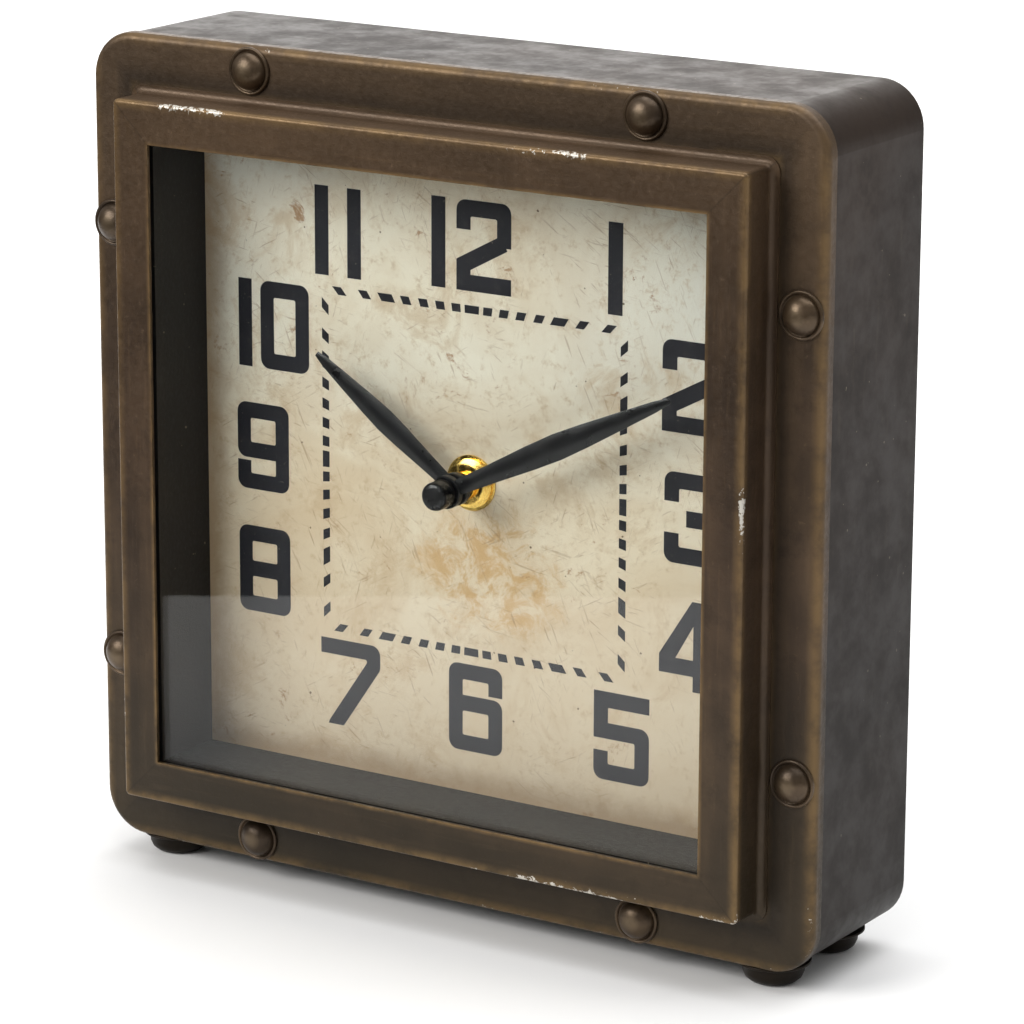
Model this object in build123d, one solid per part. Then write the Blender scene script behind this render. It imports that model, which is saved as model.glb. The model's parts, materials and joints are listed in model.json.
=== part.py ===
from build123d import *
import os
from math import acos, atan2, copysign, cos, pi, radians, sin, sqrt, tan

# Square riveted table clock. X is the viewer's right, the dial faces -Y, Z is up.
# The origin lies on the floor under the middle of the overall box. Sizes are millimetres.

# ---- case ----
CASE_WIDTH = 250.0
CASE_HEIGHT = CASE_WIDTH
CASE_DEPTH = 56.0
CASE_CORNER_RADIUS = 14.0
PANEL_THICKNESS = 1.2
PANEL_EDGE_RADIUS = 2.2
SKIRT_DEPTH = 5.0
SEAM_STEP = 0.5
BAND_THICKNESS = 1.0
FRONT_FLANGE_WIDTH = 18.0
REAR_FLANGE_WIDTH = 14.0
SLIP_CLEARANCE = 0.1
COVER_THICKNESS = 1.0
COVER_INSET = 5.0
COVER_OPENING_MARGIN = 11.0
COVER_OPENING_RADIUS = 8.0

# ---- bezel, glass and dial ----
BEZEL_BORDER = 17.4
BEZEL_SIZE = CASE_WIDTH - 2 * BEZEL_BORDER
BEZEL_DEPTH = 13.5
BEZEL_LIP = 12.6
BEZEL_OPENING = BEZEL_SIZE - 2 * BEZEL_LIP
BEZEL_THICKNESS = 1.2
BEZEL_CORNER_RADIUS = 1.6
BEZEL_EDGE_RADIUS = 1.1
BEZEL_FOOT_WIDTH = 2.6
BEZEL_FOOT_THICKNESS = 0.5
BEZEL_COVE_RADIUS = 1.9
GASKET_THICKNESS = 0.8
GASKET_WIDTH = 9.0
GLASS_THICKNESS = 2.0
GLASS_CLEARANCE = 1.2
SURROUND_THICKNESS = 3.0
SURROUND_OVERSIZE = 0.8
SURROUND_CLEARANCE = 2.1
DIAL_SETBACK = 29.5
DIAL_SHEET_THICKNESS = 0.3
DIAL_BOARD_THICKNESS = 3.0
INK_THICKNESS = 0.06

# ---- rivets, feet and screws ----
RIVET_SPACING = 0.538 * CASE_WIDTH
RIVET_CLEARANCE = 0.3
RIVET_RING_THICKNESS = 0.6
RIVET_BEAD_RADIUS = 0.45
RIVET_DOME_RADIUS = 5.7
RIVET_DOME_HEIGHT = 3.6
RIVET_SHANK_RADIUS = 2.0
RIVET_TAIL_RADIUS = 3.2
RIVET_TAIL_THICKNESS = 1.2
FOOT_INSET_SIDE = 19.0
FOOT_INSET_FACE = 12.0
FOOT_HEIGHT = 6.5
FOOT_FLANGE_RADIUS = 11.0
FOOT_FLANGE_THICKNESS = 0.9
FOOT_DOME_RADIUS = 9.2
FOOT_FLAT_RADIUS = 5.0
FOOT_SCREW_RADIUS = 2.0
FOOT_SCREW_HEAD_RADIUS = 3.6
FOOT_SCREW_HEAD_THICKNESS = 2.2
COVER_SCREW_INSET = 10.0
COVER_SCREW_RADIUS = 1.5
COVER_SCREW_HEAD_RADIUS = 2.8
COVER_SCREW_HEAD_THICKNESS = 1.6
COVER_SCREW_LENGTH = 5.0
SCREW_HOLE_CLEARANCE = 0.1

# ---- dial board clamps ----
CLAMP_SPACING = 0.48 * CASE_WIDTH
STUD_RADIUS = 1.5
STUD_BASE_RADIUS = 2.7
STUD_BASE_THICKNESS = 0.8
STUD_TAIL = 6.0
STRAP_WIDTH = 10.0
STRAP_THICKNESS = 1.2
STRAP_REACH = 9.0
CLAMP_NUT_FLATS = 5.5
CLAMP_NUT_THICKNESS = 2.4

# ---- movement ----
MOVEMENT_WALL = 1.5
MOVEMENT_CORNER_RADIUS = 3.0
BATTERY_RADIUS = 7.1
BATTERY_LENGTH = 50.0
BATTERY_CLEARANCE = 0.3
BATTERY_NUB_RADIUS = 2.75
BATTERY_NUB_LENGTH = 1.0
CONTACT_ROOM = 3.0
MOVEMENT_SIZE = BATTERY_LENGTH + CONTACT_ROOM + 2 * MOVEMENT_WALL
MOVEMENT_DEPTH = MOVEMENT_WALL + BATTERY_CLEARANCE + 2 * BATTERY_RADIUS
RUBBER_THICKNESS = 0.7
RUBBER_RADIUS = 14.0
BUSHING_RADIUS = 4.0
BUSHING_FLANGE_RADIUS = 6.0
BUSHING_FLANGE_THICKNESS = 0.8
BUSHING_REACH = 5.2
WASHER_RADIUS = 8.4
WASHER_THICKNESS = 0.7
NUT_RADIUS = 7.4
NUT_THICKNESS = 2.9
NUT_RIBS = 4
RUNNING_CLEARANCE = 0.05
PIVOT_RADIUS = 0.5

# ---- hands ----
HOUR_TUBE_RADIUS = 2.55
MINUTE_TUBE_RADIUS = 1.7
SECONDS_BORE_RADIUS = 0.6
HOUR_HAND_HEIGHT = 9.0
MINUTE_HAND_HEIGHT = 13.0
HOUR_HAND_LENGTH = 0.316 * BEZEL_OPENING
MINUTE_HAND_LENGTH = 0.442 * BEZEL_OPENING
HAND_ROOT_WIDTH = 4.4
HAND_MIDDLE_WIDTH = 7.8
HAND_TIP_WIDTH = 2.4
HAND_EDGE_THICKNESS = 0.35
HAND_RIDGE_HEIGHT = 0.55
HAND_BOSS_RADIUS = 4.9
HAND_BOSS_THICKNESS = 2.4
CAP_RADIUS = 4.25
CAP_LENGTH = 6.0
CAP_NECK_RADIUS = 3.2
CAP_NECK_LENGTH = 0.8
TIME_MINUTES = 10.6
TIME_HOURS = 10 + TIME_MINUTES / 60.0

# ---- gears ----
MOTION_CENTRE_DISTANCE = 9.0
CANNON_TEETH = 15
MINUTE_WHEEL_TEETH = 45
MINUTE_PINION_TEETH = 12
HOUR_WHEEL_TEETH = 48
WHEEL_ARBOR_MARGIN = 0.1
TRAIN_CENTRE_DISTANCE = MOTION_CENTRE_DISTANCE
FIFTH_CENTRE_DISTANCE = MOTION_CENTRE_DISTANCE + WHEEL_ARBOR_MARGIN
ROTOR_CENTRE_DISTANCE = 6.0
TRAIN_PINION_TEETH = 10
CENTRE_WHEEL_TEETH = 80
THIRD_WHEEL_TEETH = 75
SECONDS_WHEEL_TEETH = 60
FIFTH_WHEEL_TEETH = 50
PRESSURE_ANGLE = 25.0
ADDENDUM = 0.8
DEDENDUM = 1.15
BACKLASH = 0.12
WHEEL_THICKNESS = 0.8
MAGNET_RADIUS = 3.0
KNOB_RADIUS = 6.0
KNOB_THICKNESS = 3.2
KNOB_GAP = 0.7
KNOB_FLUTES = 24

# ---- dial print, laid out as shares of the opening ----
TRACK_OUTER = 0.558 * BEZEL_OPENING
TRACK_DEPTH = 0.0126 * BEZEL_OPENING
TRACK_DASH = 0.0163 * BEZEL_OPENING
TRACK_LONG_DASH = 0.0265 * BEZEL_OPENING
NUMERAL_HEIGHT = 0.1415 * BEZEL_OPENING
NUMERAL_WIDTH = 0.099 * BEZEL_OPENING
SEVEN_WIDTH = 0.113 * BEZEL_OPENING
ZERO_WIDTH = 0.0926 * BEZEL_OPENING
NUMERAL_STROKE = 0.0255 * BEZEL_OPENING
NUMERAL_CORNER = 0.0163 * BEZEL_OPENING
NUMERAL_INNER_CORNER = 0.003 * BEZEL_OPENING
BEND_STEPS = 6
NUMERAL_PLACES = {
    "12": (-0.024, 0.372), "1": (0.256, 0.366), "2": (0.389, 0.2), "3": (0.395, -0.002),
    "4": (0.389, -0.2), "5": (0.274, -0.366), "6": (0.008, -0.364), "7": (-0.228, -0.363),
    "8": (-0.393, -0.2), "9": (-0.394, 0.002), "10": (-0.392, 0.202), "11": (-0.248, 0.366)}
DIGIT_PITCH = {"11": 0.061, "10": 0.0684, "12": 0.0742}
DIGIT_SHIFT = {"10": 0.0074, "12": 0.0084}

# ---- depth stations, front to rear ----
OVERALL_DEPTH = BEZEL_DEPTH + CASE_DEPTH + COVER_THICKNESS + COVER_SCREW_HEAD_THICKNESS
BEZEL_Y = -OVERALL_DEPTH / 2
FRONT_Y = BEZEL_Y + BEZEL_DEPTH
PANEL_BACK_Y = FRONT_Y + PANEL_THICKNESS
SKIRT_Y = FRONT_Y + SKIRT_DEPTH
BACK_Y = FRONT_Y + CASE_DEPTH
GASKET_Y = BEZEL_Y + BEZEL_THICKNESS
GLASS_Y = GASKET_Y + GASKET_THICKNESS
SURROUND_Y = GLASS_Y + GLASS_THICKNESS
DIAL_Y = BEZEL_Y + DIAL_SETBACK
BOARD_Y = DIAL_Y + DIAL_SHEET_THICKNESS
BOARD_BACK_Y = BOARD_Y + DIAL_BOARD_THICKNESS
MOVEMENT_Y = BOARD_BACK_Y + RUBBER_THICKNESS
MOVEMENT_BACK_Y = MOVEMENT_Y + MOVEMENT_DEPTH
HOUR_HAND_Y = DIAL_Y - HOUR_HAND_HEIGHT
MINUTE_HAND_Y = DIAL_Y - MINUTE_HAND_HEIGHT
CENTRE_Z = FOOT_HEIGHT + CASE_HEIGHT / 2

# ---- widths that follow from the sizes above ----
SURROUND_INNER = BEZEL_OPENING + SURROUND_OVERSIZE
SURROUND_OUTER = SURROUND_INNER + 2 * SURROUND_THICKNESS
PANEL_OPENING = SURROUND_OUTER + 2 * SURROUND_CLEARANCE
BEZEL_INNER = BEZEL_SIZE - 2 * BEZEL_THICKNESS
GLASS_SIZE = BEZEL_INNER - 2 * GLASS_CLEARANCE
COVER_OPENING = MOVEMENT_SIZE + 2 * COVER_OPENING_MARGIN
BEZEL_FOOT_EDGE = BEZEL_SIZE / 2 + BEZEL_FOOT_WIDTH
RIVET_INSET = (CASE_WIDTH / 2 - BEZEL_FOOT_EDGE) / 2
RIVET_RING_RADIUS = RIVET_INSET - RIVET_CLEARANCE
FOOT_SPIGOT_RADIUS = FOOT_INSET_FACE - SKIRT_DEPTH - SLIP_CLEARANCE
BAND_WIDTH = CASE_WIDTH - 2 * SEAM_STEP
BAND_HEIGHT = CASE_HEIGHT - 2 * SEAM_STEP
BATTERY_BAY = 2 * (BATTERY_RADIUS + BATTERY_CLEARANCE)
BATTERY_Z = -MOVEMENT_SIZE / 2 + MOVEMENT_WALL + BATTERY_BAY / 2
BATTERY_Y = MOVEMENT_Y + MOVEMENT_WALL + BATTERY_CLEARANCE + BATTERY_RADIUS
GEAR_CAVITY_BOTTOM = BATTERY_Z + BATTERY_BAY / 2 + MOVEMENT_WALL
MINUTE_WHEEL_X = -MOTION_CENTRE_DISTANCE
THIRD_WHEEL_X = TRAIN_CENTRE_DISTANCE
ROTOR_Z = FIFTH_CENTRE_DISTANCE + ROTOR_CENTRE_DISTANCE


def station(depth):
    """The Y of a plane this far behind the movement's front face."""
    return MOVEMENT_Y + depth


# ---- basic solids, all placed about the middle of the dial ----
def plate(width, height, front, back, radius=0.0, x=0.0, z=0.0):
    outline = RectangleRounded(width, height, radius) if radius else Rectangle(width, height)
    return extrude(Plane.XZ.offset(-back) * Pos(x, z) * outline, back - front)


def disc(radius, front, back, x=0.0, z=0.0):
    return extrude(Plane.XZ.offset(-back) * Pos(x, z) * Circle(radius), back - front)


def ring(outer, inner, front, back, x=0.0, z=0.0):
    return disc(outer, front, back, x, z) - disc(inner, front, back, x, z)


def frame(outer, inner, front, back, outer_radius=0.0, inner_radius=0.0):
    """A flat frame: outer and inner are (width, height) pairs."""
    return plate(*outer, front, back, outer_radius) - plate(*inner, front, back, inner_radius)


def hexagon(flats, front, back, x=0.0, z=0.0):
    outline = RegularPolygon(flats / sqrt(3), 6)
    return extrude(Plane.XZ.offset(-back) * Pos(x, z) * outline, back - front)


def turned(points, x=0.0, z=0.0):
    """A solid turned about a line along Y through (x, z); points are (radius, y) pairs."""
    outline = make_face(Polyline(*[(r, y, 0) for r, y in points], close=True))
    return Pos(x, 0, z) * revolve(outline, Axis.Y)


def solids(parts):
    """Separate solids of one node, kept apart."""
    return Compound([solid for part in parts for solid in part.solids()])


def save(name, shape):
    placed = [Pos(0, 0, CENTRE_Z) * solid for solid in shape.solids()]
    export_step(placed[0] if len(placed) == 1 else Compound(placed), f"parts/{name}.step")


def square_of(width):
    return (width, width)


def ring_of_places(half_width, half_height, spacing):
    """Two places on each side of a rectangle, as (x, z) pairs."""
    half = spacing / 2
    places = [(sx * half, sz * half_height) for sx in (-1, 1) for sz in (-1, 1)]
    places += [(sx * half_width, sz * half) for sx in (-1, 1) for sz in (-1, 1)]
    return places


def four_corners(half_width, half_height):
    return [(sx * half_width, sz * half_height) for sx in (-1, 1) for sz in (-1, 1)]


# ---- case ----
RIVET_PLACES = ring_of_places(CASE_WIDTH / 2 - RIVET_INSET, CASE_HEIGHT / 2 - RIVET_INSET,
                              RIVET_SPACING)
CLAMP_OFFSET = (PANEL_OPENING / 2 + CASE_WIDTH / 2 - FRONT_FLANGE_WIDTH) / 2
CLAMP_PLACES = [(sx * CLAMP_SPACING / 2, sz * CLAMP_OFFSET) for sx in (-1, 1) for sz in (-1, 1)]
FOOT_X = CASE_WIDTH / 2 - FOOT_INSET_SIDE
FOOT_ROWS = (FRONT_Y + FOOT_INSET_FACE, BACK_Y - FOOT_INSET_FACE)
FOOT_PLACES = [(sx * FOOT_X, y) for sx in (-1, 1) for y in FOOT_ROWS]
COVER_SCREW_X = CASE_WIDTH / 2 - COVER_SCREW_INSET
COVER_SCREW_Z = CASE_HEIGHT / 2 - COVER_SCREW_INSET
COVER_SCREW_PLACES = four_corners(COVER_SCREW_X, COVER_SCREW_Z)
COVER_SCREW_PLACES += [(0, -COVER_SCREW_Z), (0, COVER_SCREW_Z), (-COVER_SCREW_X, 0), (COVER_SCREW_X, 0)]


def front_panel():
    outer = (CASE_WIDTH, CASE_HEIGHT)
    shell = plate(*outer, FRONT_Y, SKIRT_Y, CASE_CORNER_RADIUS)
    shell = fillet(shell.faces().sort_by(Axis.Y)[0].outer_wire().edges(), PANEL_EDGE_RADIUS)
    hollow_width = CASE_WIDTH - 2 * PANEL_THICKNESS
    hollow_height = CASE_HEIGHT - 2 * PANEL_THICKNESS
    shell -= plate(hollow_width, hollow_height, PANEL_BACK_Y, SKIRT_Y, CASE_CORNER_RADIUS - PANEL_THICKNESS)
    shell -= plate(*square_of(PANEL_OPENING), FRONT_Y, PANEL_BACK_Y)
    for x, z in RIVET_PLACES:
        shell -= disc(RIVET_SHANK_RADIUS, FRONT_Y, PANEL_BACK_Y, x, z)
    return shell


def case_band():
    """Side walls with a neck that slips inside the front panel's skirt and a flange at each end."""
    neck_width = CASE_WIDTH - 2 * PANEL_THICKNESS - 2 * SLIP_CLEARANCE
    neck_height = CASE_HEIGHT - 2 * PANEL_THICKNESS - 2 * SLIP_CLEARANCE
    neck_radius = CASE_CORNER_RADIUS - PANEL_THICKNESS - SLIP_CLEARANCE
    wall_radius = CASE_CORNER_RADIUS - SEAM_STEP
    inner = (neck_width - 2 * BAND_THICKNESS, neck_height - 2 * BAND_THICKNESS)
    inner_radius = neck_radius - BAND_THICKNESS
    band = plate(neck_width, neck_height, PANEL_BACK_Y, SKIRT_Y, neck_radius)
    band += plate(BAND_WIDTH, BAND_HEIGHT, SKIRT_Y, BACK_Y, wall_radius)
    flange_front = PANEL_BACK_Y + BAND_THICKNESS
    flange_rear = BACK_Y - BAND_THICKNESS
    hollow = (BAND_WIDTH - 2 * BAND_THICKNESS, BAND_HEIGHT - 2 * BAND_THICKNESS)
    band -= plate(*inner, flange_front, SKIRT_Y + BAND_THICKNESS, inner_radius)
    band -= plate(*hollow, SKIRT_Y + BAND_THICKNESS, flange_rear, wall_radius - BAND_THICKNESS)
    opening_front = (CASE_WIDTH - 2 * FRONT_FLANGE_WIDTH, CASE_HEIGHT - 2 * FRONT_FLANGE_WIDTH)
    opening_rear = (CASE_WIDTH - 2 * REAR_FLANGE_WIDTH, CASE_HEIGHT - 2 * REAR_FLANGE_WIDTH)
    band -= plate(*opening_front, PANEL_BACK_Y, flange_front)
    band -= plate(*opening_rear, flange_rear, BACK_Y)
    for x, z in RIVET_PLACES:
        band -= disc(RIVET_SHANK_RADIUS, PANEL_BACK_Y, flange_front, x, z)
    for x, z in COVER_SCREW_PLACES:
        band -= disc(COVER_SCREW_RADIUS, flange_rear, BACK_Y, x, z)
    hole = Cylinder(FOOT_SCREW_RADIUS + SCREW_HOLE_CLEARANCE, 2 * SEAM_STEP + 3 * BAND_THICKNESS)
    for x, y in FOOT_PLACES:
        band -= Pos(x, y, -CASE_HEIGHT / 2) * hole
    return band


def front_rivet(x, z):
    """Domed head on a flat ring with a raised bead, a shank and a clinched tail."""
    ring_front = FRONT_Y - RIVET_RING_THICKNESS
    tail_y = PANEL_BACK_Y + BAND_THICKNESS
    head = disc(RIVET_RING_RADIUS, ring_front, FRONT_Y, x, z)
    bead = Torus(RIVET_RING_RADIUS - RIVET_BEAD_RADIUS, RIVET_BEAD_RADIUS)
    head += Pos(x, ring_front, z) * Rot(90, 0, 0) * bead
    sphere_radius = (RIVET_DOME_RADIUS ** 2 + RIVET_DOME_HEIGHT ** 2) / (2 * RIVET_DOME_HEIGHT)
    dome = Pos(x, ring_front - RIVET_DOME_HEIGHT + sphere_radius, z) * Sphere(sphere_radius)
    dome &= disc(RIVET_RING_RADIUS, ring_front - RIVET_DOME_HEIGHT, ring_front, x, z)
    head += dome
    head += disc(RIVET_SHANK_RADIUS, FRONT_Y, tail_y, x, z)
    head += disc(RIVET_TAIL_RADIUS, tail_y, tail_y + RIVET_TAIL_THICKNESS, x, z)
    return head


def bezel_frame():
    wall_end = FRONT_Y
    body = plate(*square_of(BEZEL_SIZE), BEZEL_Y, wall_end, BEZEL_CORNER_RADIUS)
    foot_size = BEZEL_SIZE + 2 * BEZEL_FOOT_WIDTH
    foot_front = wall_end - BEZEL_FOOT_THICKNESS
    body += plate(*square_of(foot_size), foot_front, wall_end, BEZEL_CORNER_RADIUS + BEZEL_FOOT_WIDTH)
    body = fillet(body.faces().sort_by(Axis.Y)[0].outer_wire().edges(), BEZEL_EDGE_RADIUS)
    cove = [edge for edge in body.edges() if abs(edge.center().Y - foot_front) < 1e-6
            and max(abs(edge.center().X), abs(edge.center().Z)) < BEZEL_SIZE / 2 + 0.01]
    body = fillet(cove, BEZEL_COVE_RADIUS)
    body -= plate(*square_of(BEZEL_INNER), GASKET_Y, wall_end)
    body -= plate(*square_of(BEZEL_OPENING), BEZEL_Y, GASKET_Y)
    return body


def foot(x, y):
    """Flanged dome with a flat underside, a spigot that meets the band and a bore for its screw."""
    band_face = -CASE_HEIGHT / 2 + SEAM_STEP
    top = -CASE_HEIGHT / 2
    flange_bottom = top - FOOT_FLANGE_THICKNESS
    floor = top - FOOT_HEIGHT
    flange = Polyline((0, band_face), (FOOT_SPIGOT_RADIUS, band_face), (FOOT_SPIGOT_RADIUS, top),
                      (FOOT_FLANGE_RADIUS, top), (FOOT_FLANGE_RADIUS, flange_bottom),
                      (FOOT_DOME_RADIUS, flange_bottom))
    dome = ThreePointArc((FOOT_DOME_RADIUS, flange_bottom), (FOOT_DOME_RADIUS - 1.1, floor + 1.6),
                         (FOOT_FLAT_RADIUS, floor))
    base = Polyline((FOOT_FLAT_RADIUS, floor), (0, floor), (0, band_face))
    outline = make_face(Wire(flange.edges() + dome.edges() + base.edges()))
    body = revolve(Plane.XZ * outline, Axis.Z)
    bore_depth = FOOT_HEIGHT - 2.0
    body -= Pos(0, 0, band_face - bore_depth / 2) * Cylinder(FOOT_SCREW_RADIUS, bore_depth)
    return Pos(x, y, 0) * body


def foot_screw(x, y):
    seat = -CASE_HEIGHT / 2 + SEAM_STEP + BAND_THICKNESS
    length = FOOT_HEIGHT - 2.5 + BAND_THICKNESS
    head = Cylinder(FOOT_SCREW_HEAD_RADIUS, FOOT_SCREW_HEAD_THICKNESS)
    screw = Pos(x, y, seat + FOOT_SCREW_HEAD_THICKNESS / 2) * head
    return screw + Pos(x, y, seat - length / 2) * Cylinder(FOOT_SCREW_RADIUS, length)


def back_cover():
    size = (CASE_WIDTH - 2 * COVER_INSET, CASE_HEIGHT - 2 * COVER_INSET)
    cover = plate(*size, BACK_Y, BACK_Y + COVER_THICKNESS, CASE_CORNER_RADIUS - COVER_INSET)
    cover -= plate(*square_of(COVER_OPENING), BACK_Y, BACK_Y + COVER_THICKNESS, COVER_OPENING_RADIUS)
    for x, z in COVER_SCREW_PLACES:
        cover -= disc(COVER_SCREW_RADIUS + SCREW_HOLE_CLEARANCE, BACK_Y, BACK_Y + COVER_THICKNESS, x, z)
    return cover


def cover_screw(x, z):
    seat = BACK_Y + COVER_THICKNESS
    screw = disc(COVER_SCREW_HEAD_RADIUS, seat, seat + COVER_SCREW_HEAD_THICKNESS, x, z)
    screw += disc(COVER_SCREW_RADIUS, seat - COVER_SCREW_LENGTH, seat, x, z)
    slot_length = 1.3 * COVER_SCREW_HEAD_RADIUS
    slot = (seat + COVER_SCREW_HEAD_THICKNESS / 2, seat + COVER_SCREW_HEAD_THICKNESS, 0, x, z)
    return screw - plate(slot_length, 0.7, *slot) - plate(0.7, slot_length, *slot)


# ---- glass, surround, dial ----
def glass_gasket():
    outer = GLASS_SIZE
    return frame(square_of(outer), square_of(outer - 2 * GASKET_WIDTH), GASKET_Y, GLASS_Y)


def shadow_box():
    return frame(square_of(SURROUND_OUTER), square_of(SURROUND_INNER), SURROUND_Y, DIAL_Y)


def dial_board():
    hole = BUSHING_RADIUS + 2 * SCREW_HOLE_CLEARANCE
    return plate(*square_of(SURROUND_OUTER), BOARD_Y, BOARD_BACK_Y) - disc(hole, BOARD_Y, BOARD_BACK_Y)


def dial_sheet():
    hole = BUSHING_RADIUS + 2 * SCREW_HOLE_CLEARANCE
    return plate(*square_of(SURROUND_OUTER), DIAL_Y, BOARD_Y) - disc(hole, DIAL_Y, BOARD_Y)


def clamp_stud(x, z):
    stud = disc(STUD_BASE_RADIUS, PANEL_BACK_Y, PANEL_BACK_Y + STUD_BASE_THICKNESS, x, z)
    return stud + disc(STUD_RADIUS, PANEL_BACK_Y, BOARD_BACK_Y + STUD_TAIL, x, z)


def clamp_spacer(x, z):
    bore = STUD_RADIUS + SCREW_HOLE_CLEARANCE
    return ring(STUD_BASE_RADIUS, bore, PANEL_BACK_Y + STUD_BASE_THICKNESS, BOARD_BACK_Y, x, z)


def clamp_strap(x, z):
    side = 1 if z > 0 else -1
    outer = abs(z) + STUD_BASE_RADIUS + 1.0
    inner = SURROUND_OUTER / 2 - STRAP_REACH
    back = BOARD_BACK_Y + STRAP_THICKNESS
    strap = plate(STRAP_WIDTH, outer - inner, BOARD_BACK_Y, back, 1.5, x, side * (outer + inner) / 2)
    return strap - disc(STUD_RADIUS + SCREW_HOLE_CLEARANCE, BOARD_BACK_Y, back, x, z)


def clamp_nut(x, z):
    front = BOARD_BACK_Y + STRAP_THICKNESS
    nut = hexagon(CLAMP_NUT_FLATS, front, front + CLAMP_NUT_THICKNESS, x, z)
    return nut - disc(STUD_RADIUS, front, front + CLAMP_NUT_THICKNESS, x, z)


# ---- dial print ----
def stroke_side(points, closed, offset, corner):
    """One side of a stroke along a path: mitred, then rounded more on the outside of each bend."""
    count = len(points)
    runs = count if closed else count - 1
    headings = []
    for i in range(runs):
        (x0, z0), (x1, z1) = points[i], points[(i + 1) % count]
        headings.append(atan2(z1 - z0, x1 - x0))
    side = []
    for i, (x, z) in enumerate(points):
        if not closed and i in (0, count - 1):
            heading = headings[min(i, runs - 1)]
            side.append((x - offset * sin(heading), z + offset * cos(heading)))
            continue
        before = headings[i - 1]
        turn = (headings[i % runs] - before + pi) % (2 * pi) - pi
        mitre = offset / cos(turn / 2)
        corner_x = x - mitre * sin(before + turn / 2)
        corner_z = z + mitre * cos(before + turn / 2)
        if not corner:
            side.append((corner_x, corner_z))
            continue
        radius = NUMERAL_INNER_CORNER if offset * turn > 0 else corner
        reach = radius * tan(abs(turn) / 2)
        lean = copysign(radius, turn)
        centre_x = corner_x - reach * cos(before) - lean * sin(before)
        centre_z = corner_z - reach * sin(before) + lean * cos(before)
        for step in range(BEND_STEPS + 1):
            heading = before + turn * step / BEND_STEPS
            side.append((centre_x + lean * sin(heading), centre_z - lean * cos(heading)))
    return side


def stroke_path(points, closed, corner):
    """Flat stroke of the numeral width along a path."""
    half = NUMERAL_STROKE / 2
    left, right = [stroke_side(points, closed, offset, corner) for offset in (half, -half)]
    if not closed:
        return make_face(Polyline(*left, *reversed(right), close=True))
    rims = [make_face(Polyline(*side, close=True)) for side in (left, right)]
    inner, outer = sorted(rims, key=lambda rim: rim.area)
    return outer - inner


def numeral_strokes(digit, width):
    """Stroke paths of one digit, centred on zero, as (points, closed, corner radius)."""
    right = (width - NUMERAL_STROKE) / 2
    top = (NUMERAL_HEIGHT - NUMERAL_STROKE) / 2
    edge = width / 2
    foot_z = -NUMERAL_HEIGHT / 2
    corner = NUMERAL_CORNER
    hook = 0.42 * top
    shoulder = 0.16 * top
    seven_foot = -0.26 * width
    return {
        "0": [([(-right, -top), (right, -top), (right, top), (-right, top)], True, corner)],
        "1": [([(0, foot_z), (0, -foot_z)], False, 0)],
        "2": [([(-right, hook), (-right, top), (right, top), (right, shoulder - 0.28 * NUMERAL_STROKE)],
               False, corner),
              ([(right, shoulder), (-right, -0.52 * top), (-right, foot_z)], False, 0),
              ([(-edge, -top), (edge, -top)], False, 0)],
        "3": [([(-right, hook), (-right, top), (right, top), (right, 0), (-right * 0.3, 0)], False, corner),
              ([(-right * 0.3, 0), (right, 0), (right, -top), (-right, -top), (-right, -hook)],
               False, corner)],
        "5": [([(-edge, top), (edge, top)], False, 0),
              ([(-right, top), (-right, 0.14 * top)], False, 0),
              ([(-edge, 0.14 * top), (right, 0.14 * top), (right, -top), (-right, -top), (-right, -hook)],
               False, corner)],
        "6": [([(right, hook), (right, top), (-right, top), (-right, 0)], False, corner),
              ([(-right, -top), (right, -top), (right, 0.12 * top), (-right, 0.12 * top)], True, corner)],
        "7": [([(-edge, top), (right, top), (right, 0.62 * top), (seven_foot, foot_z),
                (seven_foot - 0.4 * NUMERAL_STROKE, foot_z - NUMERAL_STROKE)], False, corner)],
        "8": [([(-right, 0), (right, 0), (right, top), (-right, top)], True, corner),
              ([(-right, -top), (right, -top), (right, 0), (-right, 0)], True, corner)],
        "9": [([(-right, -hook), (-right, -top), (right, -top), (right, 0)], False, corner),
              ([(-right, -0.12 * top), (right, -0.12 * top), (right, top), (-right, top)], True, corner)],
    }[digit]


def digit_face(digit):
    width = {"0": ZERO_WIDTH, "7": SEVEN_WIDTH}.get(digit, NUMERAL_WIDTH)
    if digit == "4":
        return digit_four(width)
    faces = [stroke_path(*stroke) for stroke in numeral_strokes(digit, width)]
    shape = faces[0]
    for face in faces[1:]:
        shape += face
    return shape & Rectangle(2 * width, NUMERAL_HEIGHT)


def digit_four(width):
    """Closed triangle-topped four with its upright near the right."""
    right = width / 2
    top = NUMERAL_HEIGHT / 2
    bar_z = -NUMERAL_HEIGHT * 0.24
    bar_low = bar_z - NUMERAL_STROKE / 2
    bar_high = bar_z + NUMERAL_STROKE / 2
    stem_right = right * 0.72
    stem_left = stem_right - NUMERAL_STROKE
    outer = Polyline((-right, bar_low), (-right, bar_high + 0.6), (right * 0.15, top), (stem_right, top),
                     (stem_right, bar_high), (right, bar_high), (right, bar_low), (stem_right, bar_low),
                     (stem_right, -top), (stem_left, -top), (stem_left, bar_low), close=True)
    hole = Polyline((-right * 0.42, bar_high), (stem_left, bar_high), (stem_left, top - NUMERAL_STROKE * 1.5),
                    close=True)
    return make_face(outer) - make_face(hole)


def numeral(text, x, z):
    """One hour numeral as flat faces, its middle at (x, z)."""
    pitch = DIGIT_PITCH.get(text, 0) * BEZEL_OPENING
    shift = DIGIT_SHIFT.get(text, 0) * BEZEL_OPENING
    parts = []
    for index, digit in enumerate(text):
        offset = (index - (len(text) - 1) / 2) * pitch
        if len(text) > 1 and digit != "1":
            offset += shift
        parts.append(Pos(x + offset, z) * digit_face(digit))
    return parts


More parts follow.
